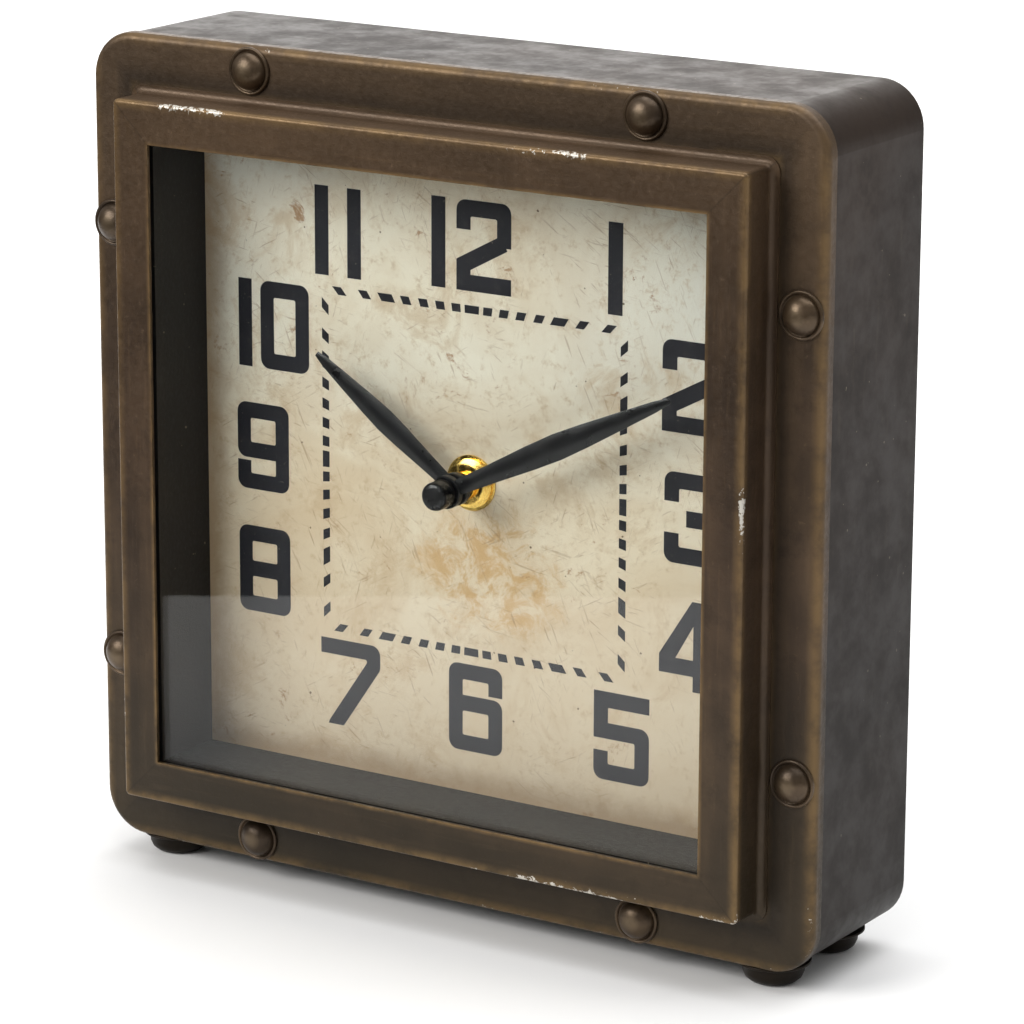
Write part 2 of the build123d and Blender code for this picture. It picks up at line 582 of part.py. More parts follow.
def hour_numerals():
    faces = []
    for text, (x, z) in NUMERAL_PLACES.items():
        faces += numeral(text, x * BEZEL_OPENING, z * BEZEL_OPENING)
    return faces


def minute_dash(minute):
    """A dash of the square track, its ends cut along lines from the middle of the dial."""
    side = round(minute / 15) % 4
    local = radians((minute * 6 - side * 90 + 180) % 360 - 180)
    outer = TRACK_OUTER / 2
    shrink = (outer - TRACK_DEPTH) / outer
    length = TRACK_LONG_DASH if minute % 5 == 0 else TRACK_DASH
    middle = outer * tan(local)
    start = middle - length / 2
    end = middle + length / 2
    corners = [(start, outer), (end, outer), (end * shrink, outer * shrink), (start * shrink, outer * shrink)]
    return Rot(0, 0, -90 * side) * make_face(Polyline(*corners, close=True))


def dial_print():
    faces = hour_numerals() + [minute_dash(minute) for minute in range(60)]
    return [extrude(Plane.XZ.offset(-DIAL_Y) * face, INK_THICKNESS) for face in faces]


# ---- hands ----
def hand(length, height_y, tube_radius, minutes):
    """Ridged lance hand on a round boss; minutes is its reading on the minute track."""
    stations = [(0.03, HAND_ROOT_WIDTH), (0.2, HAND_ROOT_WIDTH * 1.22), (0.38, HAND_MIDDLE_WIDTH * 0.93),
                (0.5, HAND_MIDDLE_WIDTH), (0.62, HAND_MIDDLE_WIDTH * 0.88), (0.8, HAND_TIP_WIDTH * 2),
                (1 - HAND_TIP_WIDTH / 2 / length, HAND_TIP_WIDTH)]
    sections = []
    for share, width in stations:
        ridge = HAND_EDGE_THICKNESS + HAND_RIDGE_HEIGHT * width / HAND_MIDDLE_WIDTH
        half = width / 2
        outline = Polyline((-half, 0), (half, 0), (half, HAND_EDGE_THICKNESS), (0, ridge),
                           (-half, HAND_EDGE_THICKNESS), close=True)
        sections.append(Plane(origin=(0, 0, share * length), x_dir=(1, 0, 0), z_dir=(0, 0, 1))
                        * Rot(0, 0, 180) * make_face(outline))
    blade = loft(sections, ruled=True)
    tip = disc(HAND_TIP_WIDTH / 2, -HAND_EDGE_THICKNESS, 0, 0, length - HAND_TIP_WIDTH / 2)
    blade = blade + tip
    boss = disc(HAND_BOSS_RADIUS, -HAND_BOSS_THICKNESS / 2, HAND_BOSS_THICKNESS / 2)
    body = boss + blade - disc(tube_radius, -HAND_BOSS_THICKNESS, HAND_BOSS_THICKNESS)
    return Pos(0, height_y, 0) * Rot(0, minutes * 6, 0) * body


def cap_nut():
    seat = MINUTE_HAND_Y - HAND_BOSS_THICKNESS / 2
    shoulder = seat - CAP_NECK_LENGTH
    cap = disc(CAP_NECK_RADIUS, shoulder, seat)
    barrel = disc(CAP_RADIUS, shoulder - CAP_LENGTH, shoulder)
    barrel = fillet(barrel.edges().group_by(Axis.Y)[0], 1.1)
    return cap + barrel - disc(MINUTE_TUBE_RADIUS, seat - CAP_NECK_LENGTH - CAP_LENGTH * 0.5, seat)


# ---- gears ----
def involute(angle):
    return tan(angle) - angle


def gear_outline(teeth, module, shift_angle=0.0):
    """Involute teeth, thinned for backlash, with the first tooth centred on shift_angle."""
    pressure = radians(PRESSURE_ANGLE)
    pitch = teeth * module / 2
    base = pitch * cos(pressure)
    tip = pitch + ADDENDUM * module
    root = pitch - DEDENDUM * module
    half_tooth = pi / (2 * teeth) - BACKLASH * module / pitch
    start = max(base, root)
    points = []
    steps = 4
    for tooth in range(teeth):
        middle = shift_angle + tooth * 2 * pi / teeth
        flank = []
        for step in range(steps):
            radius = start + (tip - start) * step / (steps - 1)
            turn = involute(acos(base / radius)) if radius > base else 0.0
            flank.append((radius, half_tooth + involute(pressure) - turn))
        if root < base:
            flank.insert(0, (root, flank[0][1]))
        for radius, offset in flank:
            points.append((radius * sin(middle - offset), radius * cos(middle - offset)))
        for radius, offset in reversed(flank):
            points.append((radius * sin(middle + offset), radius * cos(middle + offset)))
    return make_face(Polyline(*points, close=True))


def gear(teeth, module, front, back, x=0.0, z=0.0, shift_angle=0.0):
    outline = gear_outline(teeth, module, shift_angle)
    return extrude(Plane.XZ.offset(-back) * Pos(x, z) * outline, back - front)


def module_for(distance, first, second):
    return 2 * distance / (first + second)


def meshing_shift(direction, driver_shift, driver_teeth, driven_teeth):
    """Turn of a driven gear that sets a gap on the driver's tooth along the line of centres.

    direction is the bearing from driver to driven, measured from twelve, clockwise from the front.
    """
    driver_phase = (direction - driver_shift) * driver_teeth / (2 * pi)
    fraction = driver_phase - int(driver_phase)
    opposite = direction + pi
    return opposite + (fraction + 0.5) * 2 * pi / driven_teeth


TO_LEFT = -pi / 2
TO_RIGHT = pi / 2
TO_TOP = 0.0
MOTION_MODULE = module_for(MOTION_CENTRE_DISTANCE, CANNON_TEETH, MINUTE_WHEEL_TEETH)
HOUR_MODULE = module_for(MOTION_CENTRE_DISTANCE, MINUTE_PINION_TEETH, HOUR_WHEEL_TEETH)
CENTRE_MODULE = module_for(TRAIN_CENTRE_DISTANCE, TRAIN_PINION_TEETH, CENTRE_WHEEL_TEETH)
THIRD_MODULE = module_for(TRAIN_CENTRE_DISTANCE, TRAIN_PINION_TEETH, THIRD_WHEEL_TEETH)
SECONDS_MODULE = module_for(FIFTH_CENTRE_DISTANCE, TRAIN_PINION_TEETH, SECONDS_WHEEL_TEETH)
FIFTH_MODULE = module_for(ROTOR_CENTRE_DISTANCE, TRAIN_PINION_TEETH, FIFTH_WHEEL_TEETH)

# The cannon pinion's arbor stays inside the root circle of its own teeth.
CANNON_ROOT_COVER = 0.205
CANNON_ROOT_RADIUS = MOTION_MODULE * (CANNON_TEETH / 2 - DEDENDUM)
CANNON_ARBOR_RADIUS = CANNON_ROOT_RADIUS - CANNON_ROOT_COVER

# Depth of each layer behind the movement's front face.
HOUR_WHEEL_DEPTH = 2.6
CANNON_DEPTH = 3.9
MID_PLATE_DEPTH = 5.5
MID_PLATE_THICKNESS = 0.8
CENTRE_WHEEL_DEPTH = 6.7
THIRD_WHEEL_DEPTH = 8.1
SECONDS_WHEEL_DEPTH = 9.3
FIFTH_WHEEL_DEPTH = 10.5
MAGNET_DEPTH = 7.4
MAGNET_LENGTH = 2.7
STATOR_DEPTH = 8.5
BOARD_DEPTH = 12.9
REAR_COVER_DEPTH = MOVEMENT_DEPTH - MOVEMENT_WALL
PIVOT_DEPTH = 0.8
LAYER_LAP = 0.15


def hour_wheel():
    front = station(HOUR_WHEEL_DEPTH)
    shift = meshing_shift(TO_RIGHT, 0.0, MINUTE_PINION_TEETH, HOUR_WHEEL_TEETH)
    wheel = gear(HOUR_WHEEL_TEETH, HOUR_MODULE, front, front + WHEEL_THICKNESS, shift_angle=shift)
    wheel += disc(HOUR_TUBE_RADIUS, HOUR_HAND_Y - HAND_BOSS_THICKNESS / 2, front)
    return wheel - disc(MINUTE_TUBE_RADIUS + RUNNING_CLEARANCE, MINUTE_HAND_Y, front + WHEEL_THICKNESS)


def minute_wheel():
    pinion_front = station(HOUR_WHEEL_DEPTH - LAYER_LAP)
    wheel_front = station(CANNON_DEPTH + LAYER_LAP)
    x = MINUTE_WHEEL_X
    body = gear(MINUTE_PINION_TEETH, HOUR_MODULE, pinion_front, wheel_front, x)
    shift = meshing_shift(TO_LEFT, 0.0, CANNON_TEETH, MINUTE_WHEEL_TEETH)
    body += gear(MINUTE_WHEEL_TEETH, MOTION_MODULE, wheel_front, wheel_front + WHEEL_THICKNESS, x, 0, shift)
    front = station(MOVEMENT_WALL - PIVOT_DEPTH + SCREW_HOLE_CLEARANCE)
    return body + disc(PIVOT_RADIUS, front, MOVEMENT_BACK_Y + KNOB_GAP + KNOB_THICKNESS / 2, x)


def cannon_pinion():
    front = station(CANNON_DEPTH)
    back = front + WHEEL_THICKNESS + 2 * LAYER_LAP
    body = gear(CANNON_TEETH, MOTION_MODULE, front, back)
    tube_front = MINUTE_HAND_Y - HAND_BOSS_THICKNESS / 2 - CAP_NECK_LENGTH - CAP_LENGTH * 0.5
    tube_back = station(CENTRE_WHEEL_DEPTH) + WHEEL_THICKNESS + LAYER_LAP
    body += disc(MINUTE_TUBE_RADIUS, tube_front, front)
    body += disc(CANNON_ARBOR_RADIUS, front, tube_back)
    return body - disc(SECONDS_BORE_RADIUS, front - PIVOT_DEPTH, tube_back)


def centre_wheel():
    front = station(CENTRE_WHEEL_DEPTH)
    shift = meshing_shift(TO_LEFT, 0.0, TRAIN_PINION_TEETH, CENTRE_WHEEL_TEETH)
    wheel = gear(CENTRE_WHEEL_TEETH, CENTRE_MODULE, front, front + WHEEL_THICKNESS, shift_angle=shift)
    return wheel - disc(CANNON_ARBOR_RADIUS + RUNNING_CLEARANCE, front, front + WHEEL_THICKNESS)


def arbor(x, z, front, radius=PIVOT_RADIUS):
    return disc(radius, front, station(REAR_COVER_DEPTH + PIVOT_DEPTH - SCREW_HOLE_CLEARANCE), x, z)


def third_wheel():
    x = THIRD_WHEEL_X
    pinion_front = station(CENTRE_WHEEL_DEPTH - LAYER_LAP)
    wheel_front = station(THIRD_WHEEL_DEPTH)
    body = gear(TRAIN_PINION_TEETH, CENTRE_MODULE, pinion_front, wheel_front, x)
    shift = meshing_shift(TO_RIGHT, 0.0, TRAIN_PINION_TEETH, THIRD_WHEEL_TEETH)
    body += gear(THIRD_WHEEL_TEETH, THIRD_MODULE, wheel_front, wheel_front + WHEEL_THICKNESS, x, 0, shift)
    return body + arbor(x, 0, station(MID_PLATE_DEPTH))


def seconds_wheel():
    pinion_front = station(THIRD_WHEEL_DEPTH - LAYER_LAP)
    wheel_front = station(SECONDS_WHEEL_DEPTH)
    body = gear(TRAIN_PINION_TEETH, THIRD_MODULE, pinion_front, wheel_front)
    shift = meshing_shift(pi, 0.0, TRAIN_PINION_TEETH, SECONDS_WHEEL_TEETH)
    body += gear(SECONDS_WHEEL_TEETH, SECONDS_MODULE, wheel_front, wheel_front + WHEEL_THICKNESS, 0, 0, shift)
    return body + arbor(0, 0, station(CANNON_DEPTH))


def fifth_wheel():
    z = FIFTH_CENTRE_DISTANCE
    pinion_front = station(SECONDS_WHEEL_DEPTH - LAYER_LAP)
    wheel_front = station(FIFTH_WHEEL_DEPTH)
    body = gear(TRAIN_PINION_TEETH, SECONDS_MODULE, pinion_front, wheel_front, 0, z)
    shift = meshing_shift(pi, 0.0, TRAIN_PINION_TEETH, FIFTH_WHEEL_TEETH)
    body += gear(FIFTH_WHEEL_TEETH, FIFTH_MODULE, wheel_front, wheel_front + WHEEL_THICKNESS, 0, z, shift)
    return body + arbor(0, z, station(MID_PLATE_DEPTH))


def rotor():
    z = ROTOR_Z
    magnet_front = station(MAGNET_DEPTH)
    magnet_back = magnet_front + MAGNET_LENGTH
    pinion_back = station(FIFTH_WHEEL_DEPTH) + WHEEL_THICKNESS + LAYER_LAP
    body = disc(MAGNET_RADIUS, magnet_front, magnet_back, 0, z)
    body += gear(TRAIN_PINION_TEETH, FIFTH_MODULE, magnet_back, pinion_back, 0, z)
    return body + arbor(0, z, station(MID_PLATE_DEPTH))


def setting_knob():
    front = MOVEMENT_BACK_Y + KNOB_GAP
    back = front + KNOB_THICKNESS
    x = MINUTE_WHEEL_X
    knob = disc(KNOB_RADIUS, front, back, x)
    for flute in range(KNOB_FLUTES):
        angle = flute * 2 * pi / KNOB_FLUTES
        knob -= disc(0.45, front, back, x + KNOB_RADIUS * sin(angle), KNOB_RADIUS * cos(angle))
    return knob - disc(PIVOT_RADIUS, front, front + KNOB_THICKNESS / 2, x)


# ---- movement frame ----
POST_RADIUS = 2.0
MOVEMENT_SCREW_RADIUS = 0.9
MOVEMENT_SCREW_HEAD_RADIUS = 1.8
MOVEMENT_SCREW_HEAD_THICKNESS = 1.0
POST_X = MOVEMENT_SIZE / 2 - MOVEMENT_WALL - POST_RADIUS - 0.5
POST_TOP = POST_X
POST_BOTTOM = GEAR_CAVITY_BOTTOM + POST_RADIUS + 0.5
POST_PLACES = [(sx * POST_X, z) for sx in (-1, 1) for z in (POST_BOTTOM, POST_TOP)]
CAVITY_WIDTH = MOVEMENT_SIZE - 2 * MOVEMENT_WALL
CAVITY_TOP = MOVEMENT_SIZE / 2 - MOVEMENT_WALL
CAVITY_HEIGHT = CAVITY_TOP - GEAR_CAVITY_BOTTOM
CAVITY_Z = (CAVITY_TOP + GEAR_CAVITY_BOTTOM) / 2


def movement_housing():
    body = plate(*square_of(MOVEMENT_SIZE), MOVEMENT_Y, MOVEMENT_BACK_Y, MOVEMENT_CORNER_RADIUS)
    floor = station(MOVEMENT_WALL)
    body -= plate(CAVITY_WIDTH, CAVITY_HEIGHT, floor, MOVEMENT_BACK_Y, 0, 0, CAVITY_Z)
    body -= plate(CAVITY_WIDTH, BATTERY_BAY, floor, MOVEMENT_BACK_Y, 0, 0, BATTERY_Z)
    for x, z in POST_PLACES:
        body += ring(POST_RADIUS, MOVEMENT_SCREW_RADIUS, floor, station(MID_PLATE_DEPTH), x, z)
    body -= disc(BUSHING_RADIUS, MOVEMENT_Y, floor)
    pivot = PIVOT_RADIUS + RUNNING_CLEARANCE
    return body - disc(pivot, station(MOVEMENT_WALL - PIVOT_DEPTH), floor, MINUTE_WHEEL_X)


def mid_plate():
    front = station(MID_PLATE_DEPTH)
    back = front + MID_PLATE_THICKNESS
    gap = SCREW_HOLE_CLEARANCE
    body = plate(CAVITY_WIDTH - 2 * gap, CAVITY_HEIGHT - 2 * gap, front, back, 0, 0, CAVITY_Z)
    body -= disc(CANNON_ARBOR_RADIUS + RUNNING_CLEARANCE, front, back)
    pivot = PIVOT_RADIUS + RUNNING_CLEARANCE
    for x, z in ((MINUTE_WHEEL_X, 0), (THIRD_WHEEL_X, 0), (0, FIFTH_CENTRE_DISTANCE), (0, ROTOR_Z)):
        body -= disc(pivot, front, back, x, z)
    for x, z in POST_PLACES:
        body -= disc(MOVEMENT_SCREW_RADIUS + gap, front, back, x, z)
    return body


def movement_rear_cover():
    front = station(REAR_COVER_DEPTH)
    gap = SCREW_HOLE_CLEARANCE
    body = plate(CAVITY_WIDTH - 2 * gap, CAVITY_HEIGHT - 2 * gap, front, MOVEMENT_BACK_Y, 0, 0, CAVITY_Z)
    post_front = station(MID_PLATE_DEPTH + MID_PLATE_THICKNESS)
    for x, z in POST_PLACES:
        body += disc(POST_RADIUS, post_front, front, x, z)
        body -= disc(MOVEMENT_SCREW_RADIUS + gap, post_front, MOVEMENT_BACK_Y, x, z)
    pivot = PIVOT_RADIUS + RUNNING_CLEARANCE
    for x, z in ((0, 0), (THIRD_WHEEL_X, 0), (0, FIFTH_CENTRE_DISTANCE), (0, ROTOR_Z)):
        body -= disc(pivot, front, front + PIVOT_DEPTH, x, z)
    return body - disc(pivot, front, MOVEMENT_BACK_Y, MINUTE_WHEEL_X)


def movement_screw(x, z):
    head_back = MOVEMENT_BACK_Y + MOVEMENT_SCREW_HEAD_THICKNESS
    head = disc(MOVEMENT_SCREW_HEAD_RADIUS, MOVEMENT_BACK_Y, head_back, x, z)
    return head + disc(MOVEMENT_SCREW_RADIUS, station(MOVEMENT_WALL + 1.0), MOVEMENT_BACK_Y, x, z)


def threaded_bushing():
    flange_front = station(MOVEMENT_WALL)
    front = DIAL_Y - BUSHING_REACH
    body = disc(BUSHING_RADIUS, front, flange_front)
    body += disc(BUSHING_FLANGE_RADIUS, flange_front, flange_front + BUSHING_FLANGE_THICKNESS)
    bore = HOUR_TUBE_RADIUS + RUNNING_CLEARANCE
    return body - disc(bore, front, flange_front + BUSHING_FLANGE_THICKNESS)


def brass_nut():
    """Round brass nut turned with shallow ribs."""
    back = DIAL_Y - WASHER_THICKNESS
    front = back - NUT_THICKNESS
    pitch = NUT_THICKNESS / NUT_RIBS
    points = [(BUSHING_RADIUS, front)]
    for rib in range(NUT_RIBS):
        y = front + rib * pitch
        rise = NUT_RADIUS - 1.4 + 1.4 * (rib + 1) / NUT_RIBS
        points += [(rise - 0.35, y), (rise, y + pitch * 0.3), (rise, y + pitch * 0.7),
                   (rise - 0.35, y + pitch)]
    points.append((BUSHING_RADIUS, back))
    return turned(points)


STATOR_HALF_WIDTH = 16.0
STATOR_LEG_WIDTH = 4.0
STATOR_BAR_HEIGHT = 8.0
STATOR_TOP = CAVITY_TOP - 1.0
COIL_RADIUS = 2.8
COIL_LENGTH = 20.0
CORE_HEIGHT = 3.0
ROTOR_GAP = 0.5


def stator():
    front = station(STATOR_DEPTH)
    back = front + WHEEL_THICKNESS
    bottom = ROTOR_Z - STATOR_BAR_HEIGHT / 2
    height = STATOR_TOP - bottom
    body = plate(2 * STATOR_HALF_WIDTH, height, front, back, 0, 0, bottom + height / 2)
    window_bottom = bottom + STATOR_BAR_HEIGHT
    window_height = STATOR_TOP - window_bottom
    window = 2 * (STATOR_HALF_WIDTH - STATOR_LEG_WIDTH)
    body -= plate(window, window_height, front, back, 0, 0, window_bottom + window_height / 2)
    return body - disc(MAGNET_RADIUS + ROTOR_GAP, front, back, 0, ROTOR_Z)


COIL_Z = STATOR_TOP - 2.6
COIL_Y = station(STATOR_DEPTH) + 1.5 * WHEEL_THICKNESS


def coil_core():
    front = station(STATOR_DEPTH) + WHEEL_THICKNESS
    return plate(2 * STATOR_HALF_WIDTH, CORE_HEIGHT, front, front + WHEEL_THICKNESS, 0, 0, COIL_Z)


def coil():
    winding = Pos(0, COIL_Y, COIL_Z) * Rot(0, 90, 0) * Cylinder(COIL_RADIUS, COIL_LENGTH)
    return winding - coil_core()


CIRCUIT_LEFT = -20.0
CIRCUIT_RIGHT = -3.0
CIRCUIT_TOP = STATOR_TOP
CIRCUIT_BOTTOM = 12.0
CIRCUIT_THICKNESS = 0.8
CRYSTAL_RADIUS = 1.0
CRYSTAL_LENGTH = 5.5


def circuit_board():
    front = station(BOARD_DEPTH)
    width = CIRCUIT_RIGHT - CIRCUIT_LEFT
    height = CIRCUIT_TOP - CIRCUIT_BOTTOM
    return plate(width, height, front, front + CIRCUIT_THICKNESS, 0,
                 (CIRCUIT_LEFT + CIRCUIT_RIGHT) / 2, (CIRCUIT_TOP + CIRCUIT_BOTTOM) / 2)


def quartz_crystal():
    middle_x = CIRCUIT_LEFT + CRYSTAL_LENGTH / 2 + 0.5
    can = Rot(0, 90, 0) * Cylinder(CRYSTAL_RADIUS, CRYSTAL_LENGTH)
    return Pos(middle_x, station(BOARD_DEPTH) - CRYSTAL_RADIUS, CIRCUIT_BOTTOM + 2.0) * can


CONTACT_THICKNESS = 0.4
SPRING_BASE_RADIUS = 4.0
SPRING_TIP_RADIUS = 2.6


def battery():
    body = Cylinder(BATTERY_RADIUS, BATTERY_LENGTH - BATTERY_NUB_LENGTH)
    body = fillet(body.edges(), 0.6)
    body = Rot(0, 90, 0) * body
    nub = Rot(0, 90, 0) * Cylinder(BATTERY_NUB_RADIUS, BATTERY_NUB_LENGTH)
    end = (BATTERY_LENGTH - BATTERY_NUB_LENGTH) / 2
    body += Pos(end + BATTERY_NUB_LENGTH / 2, 0, 0) * nub
    return Pos(battery_middle_x(), BATTERY_Y, BATTERY_Z) * body


def battery_middle_x():
    contact_face = CAVITY_WIDTH / 2 - CONTACT_THICKNESS
    barrel_end = contact_face - BATTERY_CLEARANCE - BATTERY_NUB_LENGTH
    return barrel_end - (BATTERY_LENGTH - BATTERY_NUB_LENGTH) / 2


def contact_plate(side):
    height = BATTERY_BAY - 2.0
    depth = 10.0
    x = side * (CAVITY_WIDTH / 2 - CONTACT_THICKNESS / 2)
    return Pos(x, BATTERY_Y, BATTERY_Z) * Box(CONTACT_THICKNESS, depth, height)


def negative_contact():
    face = -CAVITY_WIDTH / 2 + CONTACT_THICKNESS
    battery_end = battery_middle_x() - (BATTERY_LENGTH - BATTERY_NUB_LENGTH) / 2
    length = battery_end - BATTERY_CLEARANCE - face
    spring = Rot(0, 90, 0) * Cone(SPRING_BASE_RADIUS, SPRING_TIP_RADIUS, length)
    return contact_plate(-1) + Pos(face + length / 2, BATTERY_Y, BATTERY_Z) * spring


def build():
    hour_minutes = TIME_HOURS * 5
    rubber = ring(RUBBER_RADIUS, BUSHING_RADIUS + SCREW_HOLE_CLEARANCE, BOARD_BACK_Y, MOVEMENT_Y)
    washer = ring(WASHER_RADIUS, BUSHING_RADIUS + SCREW_HOLE_CLEARANCE, DIAL_Y - WASHER_THICKNESS, DIAL_Y)
    return {
        "front_panel": front_panel(),
        "case_band": case_band(),
        "front_rivets": solids([front_rivet(x, z) for x, z in RIVET_PLACES]),
        "bezel_frame": bezel_frame(),
        "glass_gasket": glass_gasket(),
        "dial_glass": plate(*square_of(GLASS_SIZE), GLASS_Y, SURROUND_Y),
        "shadow_box": shadow_box(),
        "dial_sheet": dial_sheet(),
        "dial_print": solids(dial_print()),
        "dial_board": dial_board(),
        "clamp_studs": solids([clamp_stud(x, z) for x, z in CLAMP_PLACES]),
        "clamp_spacers": solids([clamp_spacer(x, z) for x, z in CLAMP_PLACES]),
        "clamp_straps": solids([clamp_strap(x, z) for x, z in CLAMP_PLACES]),
        "clamp_nuts": solids([clamp_nut(x, z) for x, z in CLAMP_PLACES]),
        "feet": solids([foot(x, y) for x, y in FOOT_PLACES]),
        "foot_screws": solids([foot_screw(x, y) for x, y in FOOT_PLACES]),
        "back_cover": back_cover(),
        "back_cover_screws": solids([cover_screw(x, z) for x, z in COVER_SCREW_PLACES]),
        "rubber_washer": rubber,
        "brass_washer": washer,
        "brass_nut": brass_nut(),
        "threaded_bushing": threaded_bushing(),
        "movement_housing": movement_housing(),
        "mid_plate": mid_plate(),
        "movement_rear_cover": movement_rear_cover(),
        "movement_screws": solids([movement_screw(x, z) for x, z in POST_PLACES]),
        "stator": stator(),
        "coil_core": coil_core(),
        "coil": coil(),
        "circuit_board": circuit_board(),
        "quartz_crystal": quartz_crystal(),
        "negative_contact": negative_contact(),
        "positive_contact": contact_plate(1),
        "battery": battery(),
        "rotor": rotor(),
        "fifth_wheel": fifth_wheel(),
        "seconds_wheel": seconds_wheel(),
        "third_wheel": third_wheel(),
        "centre_wheel": centre_wheel(),
        "minute_wheel": minute_wheel(),
        "setting_knob": setting_knob(),
        "hour_wheel": hour_wheel(),
        "hour_hand": hand(HOUR_HAND_LENGTH, HOUR_HAND_Y, HOUR_TUBE_RADIUS, hour_minutes),
        "cannon_pinion": cannon_pinion(),
        "minute_hand": hand(MINUTE_HAND_LENGTH, MINUTE_HAND_Y, MINUTE_TUBE_RADIUS, TIME_MINUTES),
        "cap_nut": cap_nut(),
    }


os.makedirs("parts", exist_ok=True)
for node, shape in build().items():
    save(node, shape)
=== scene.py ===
import json
import math
import bmesh
import bpy
from mathutils import Matrix, Vector


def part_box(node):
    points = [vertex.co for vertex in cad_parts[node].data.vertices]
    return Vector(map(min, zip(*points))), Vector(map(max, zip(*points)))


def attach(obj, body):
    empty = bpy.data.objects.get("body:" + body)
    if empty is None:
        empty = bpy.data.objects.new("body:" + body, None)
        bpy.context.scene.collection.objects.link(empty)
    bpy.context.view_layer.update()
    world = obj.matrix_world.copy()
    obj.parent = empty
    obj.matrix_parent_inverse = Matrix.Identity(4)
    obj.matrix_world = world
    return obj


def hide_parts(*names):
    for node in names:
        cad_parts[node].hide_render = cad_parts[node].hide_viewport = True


# Square riveted bronze clock with a deep framed dial. Metres, X right, the dial faces -Y, Z up.

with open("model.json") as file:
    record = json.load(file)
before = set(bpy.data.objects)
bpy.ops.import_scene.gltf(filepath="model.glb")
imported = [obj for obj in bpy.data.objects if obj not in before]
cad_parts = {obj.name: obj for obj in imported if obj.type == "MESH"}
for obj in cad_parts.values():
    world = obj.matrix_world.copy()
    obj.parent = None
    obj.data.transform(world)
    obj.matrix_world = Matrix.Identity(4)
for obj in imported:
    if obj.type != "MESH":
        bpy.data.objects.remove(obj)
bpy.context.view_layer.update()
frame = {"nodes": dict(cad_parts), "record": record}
bpy.ops.object.select_all(action="DESELECT")
cad = frame["nodes"]
MM = 0.001

# ---- where things are ----
COVE_WIDTH = 2.6 * MM
BEZEL_FACE_WIDTH = 12.6 * MM
panel_low, panel_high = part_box("front_panel")
bezel_low, bezel_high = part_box("bezel_frame")
CENTRE_Z = (panel_low.z + panel_high.z) / 2
HALF_CASE = (panel_high.x - panel_low.x) / 2
HALF_BEZEL = (bezel_high.x - bezel_low.x) / 2 - COVE_WIDTH
HALF_OPENING = HALF_BEZEL - BEZEL_FACE_WIDTH
FRONT = panel_low.y
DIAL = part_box("dial_sheet")[0].y
OUT = Vector((0, -1, 0))
BACKWARDS = Vector((0, 1, 0))
UP = Vector((0, 0, 1))
# Vertices closer than this are one vertex.
WELD = 1e-6
# Radius that stands in for none while a closed end is started.
PINPOINT = 1e-5


def tone(red, green, blue):
    """A colour given as it looks on screen, from 0 to 255, made linear."""
    linear = []
    for level in (red, green, blue):
        share = level / 255
        linear.append(share / 12.92 if share <= 0.04045 else ((share + 0.055) / 1.055) ** 2.4)
    return (*linear, 1.0)


def grey(level):
    """A linear grey."""
    return (level, level, level, 1.0)


# ---- node building ----
class Wiring:
    """Adds nodes to one tree and feeds their inputs with links or plain values."""

    def __init__(self, tree):
        self.tree = tree

    def node(self, kind, inputs=None, **settings):
        made = self.tree.nodes.new(kind)
        for name, value in settings.items():
            setattr(made, name, value)
        for key, value in (inputs or {}).items():
            self.feed(made.inputs[key], value)
        return made

    def feed(self, socket, value):
        if isinstance(value, bpy.types.NodeSocket):
            self.tree.links.new(value, socket)
        else:
            socket.default_value = value

    def sum(self, operation, first, second=0.0, third=0.0, clamp=False):
        inputs = {0: first, 1: second, 2: third}
        return self.node("ShaderNodeMath", inputs, operation=operation, use_clamp=clamp).outputs[0]

    def noise(self, place, scale, detail=3.0, roughness=0.55, distortion=0.0):
        inputs = {"Vector": place, "Scale": scale, "Detail": detail, "Roughness": roughness,
                  "Distortion": distortion}
        return self.node("ShaderNodeTexNoise", inputs).outputs["Fac"]

    def stretched(self, place, factors):
        inputs = {0: place, 1: factors}
        return self.node("ShaderNodeVectorMath", inputs, operation="MULTIPLY").outputs[0]

    def spread(self, value, low, high, to_low=0.0, to_high=1.0):
        inputs = {"Value": value, "From Min": low, "From Max": high, "To Min": to_low, "To Max": to_high}
        return self.node("ShaderNodeMapRange", inputs, interpolation_type="SMOOTHSTEP").outputs[0]

    def blend(self, share, first, second):
        made = self.node("ShaderNodeMix", data_type="RGBA")
        self.feed(made.inputs[0], share)
        self.feed(made.inputs[6], first)
        self.feed(made.inputs[7], second)
        return made.outputs[2]

    def group(self, tree, inputs):
        made = self.node("ShaderNodeGroup", node_tree=tree)
        for name, value in inputs.items():
            self.feed(made.inputs[name], value)
        return made.outputs


def effect(name, takes, gives):
    """An empty shader node group with named sockets: its tree, wiring, inputs and outputs."""
    tree = bpy.data.node_groups.new(name, "ShaderNodeTree")
    for label, kind, default in takes:
        socket = tree.interface.new_socket(label, in_out="INPUT", socket_type=kind)
        if default is not None:
            socket.default_value = default
    for label, kind in gives:
        tree.interface.new_socket(label, in_out="OUTPUT", socket_type=kind)
    wiring = Wiring(tree)
    return tree, wiring, wiring.node("NodeGroupInput").outputs, wiring.node("NodeGroupOutput").inputs


VECTOR, FLOAT = "NodeSocketVector", "NodeSocketFloat"


def axes_of(w, place):
    """The X, Y and Z outputs of a place."""
    return w.node("ShaderNodeSeparateXYZ", {0: place}).outputs


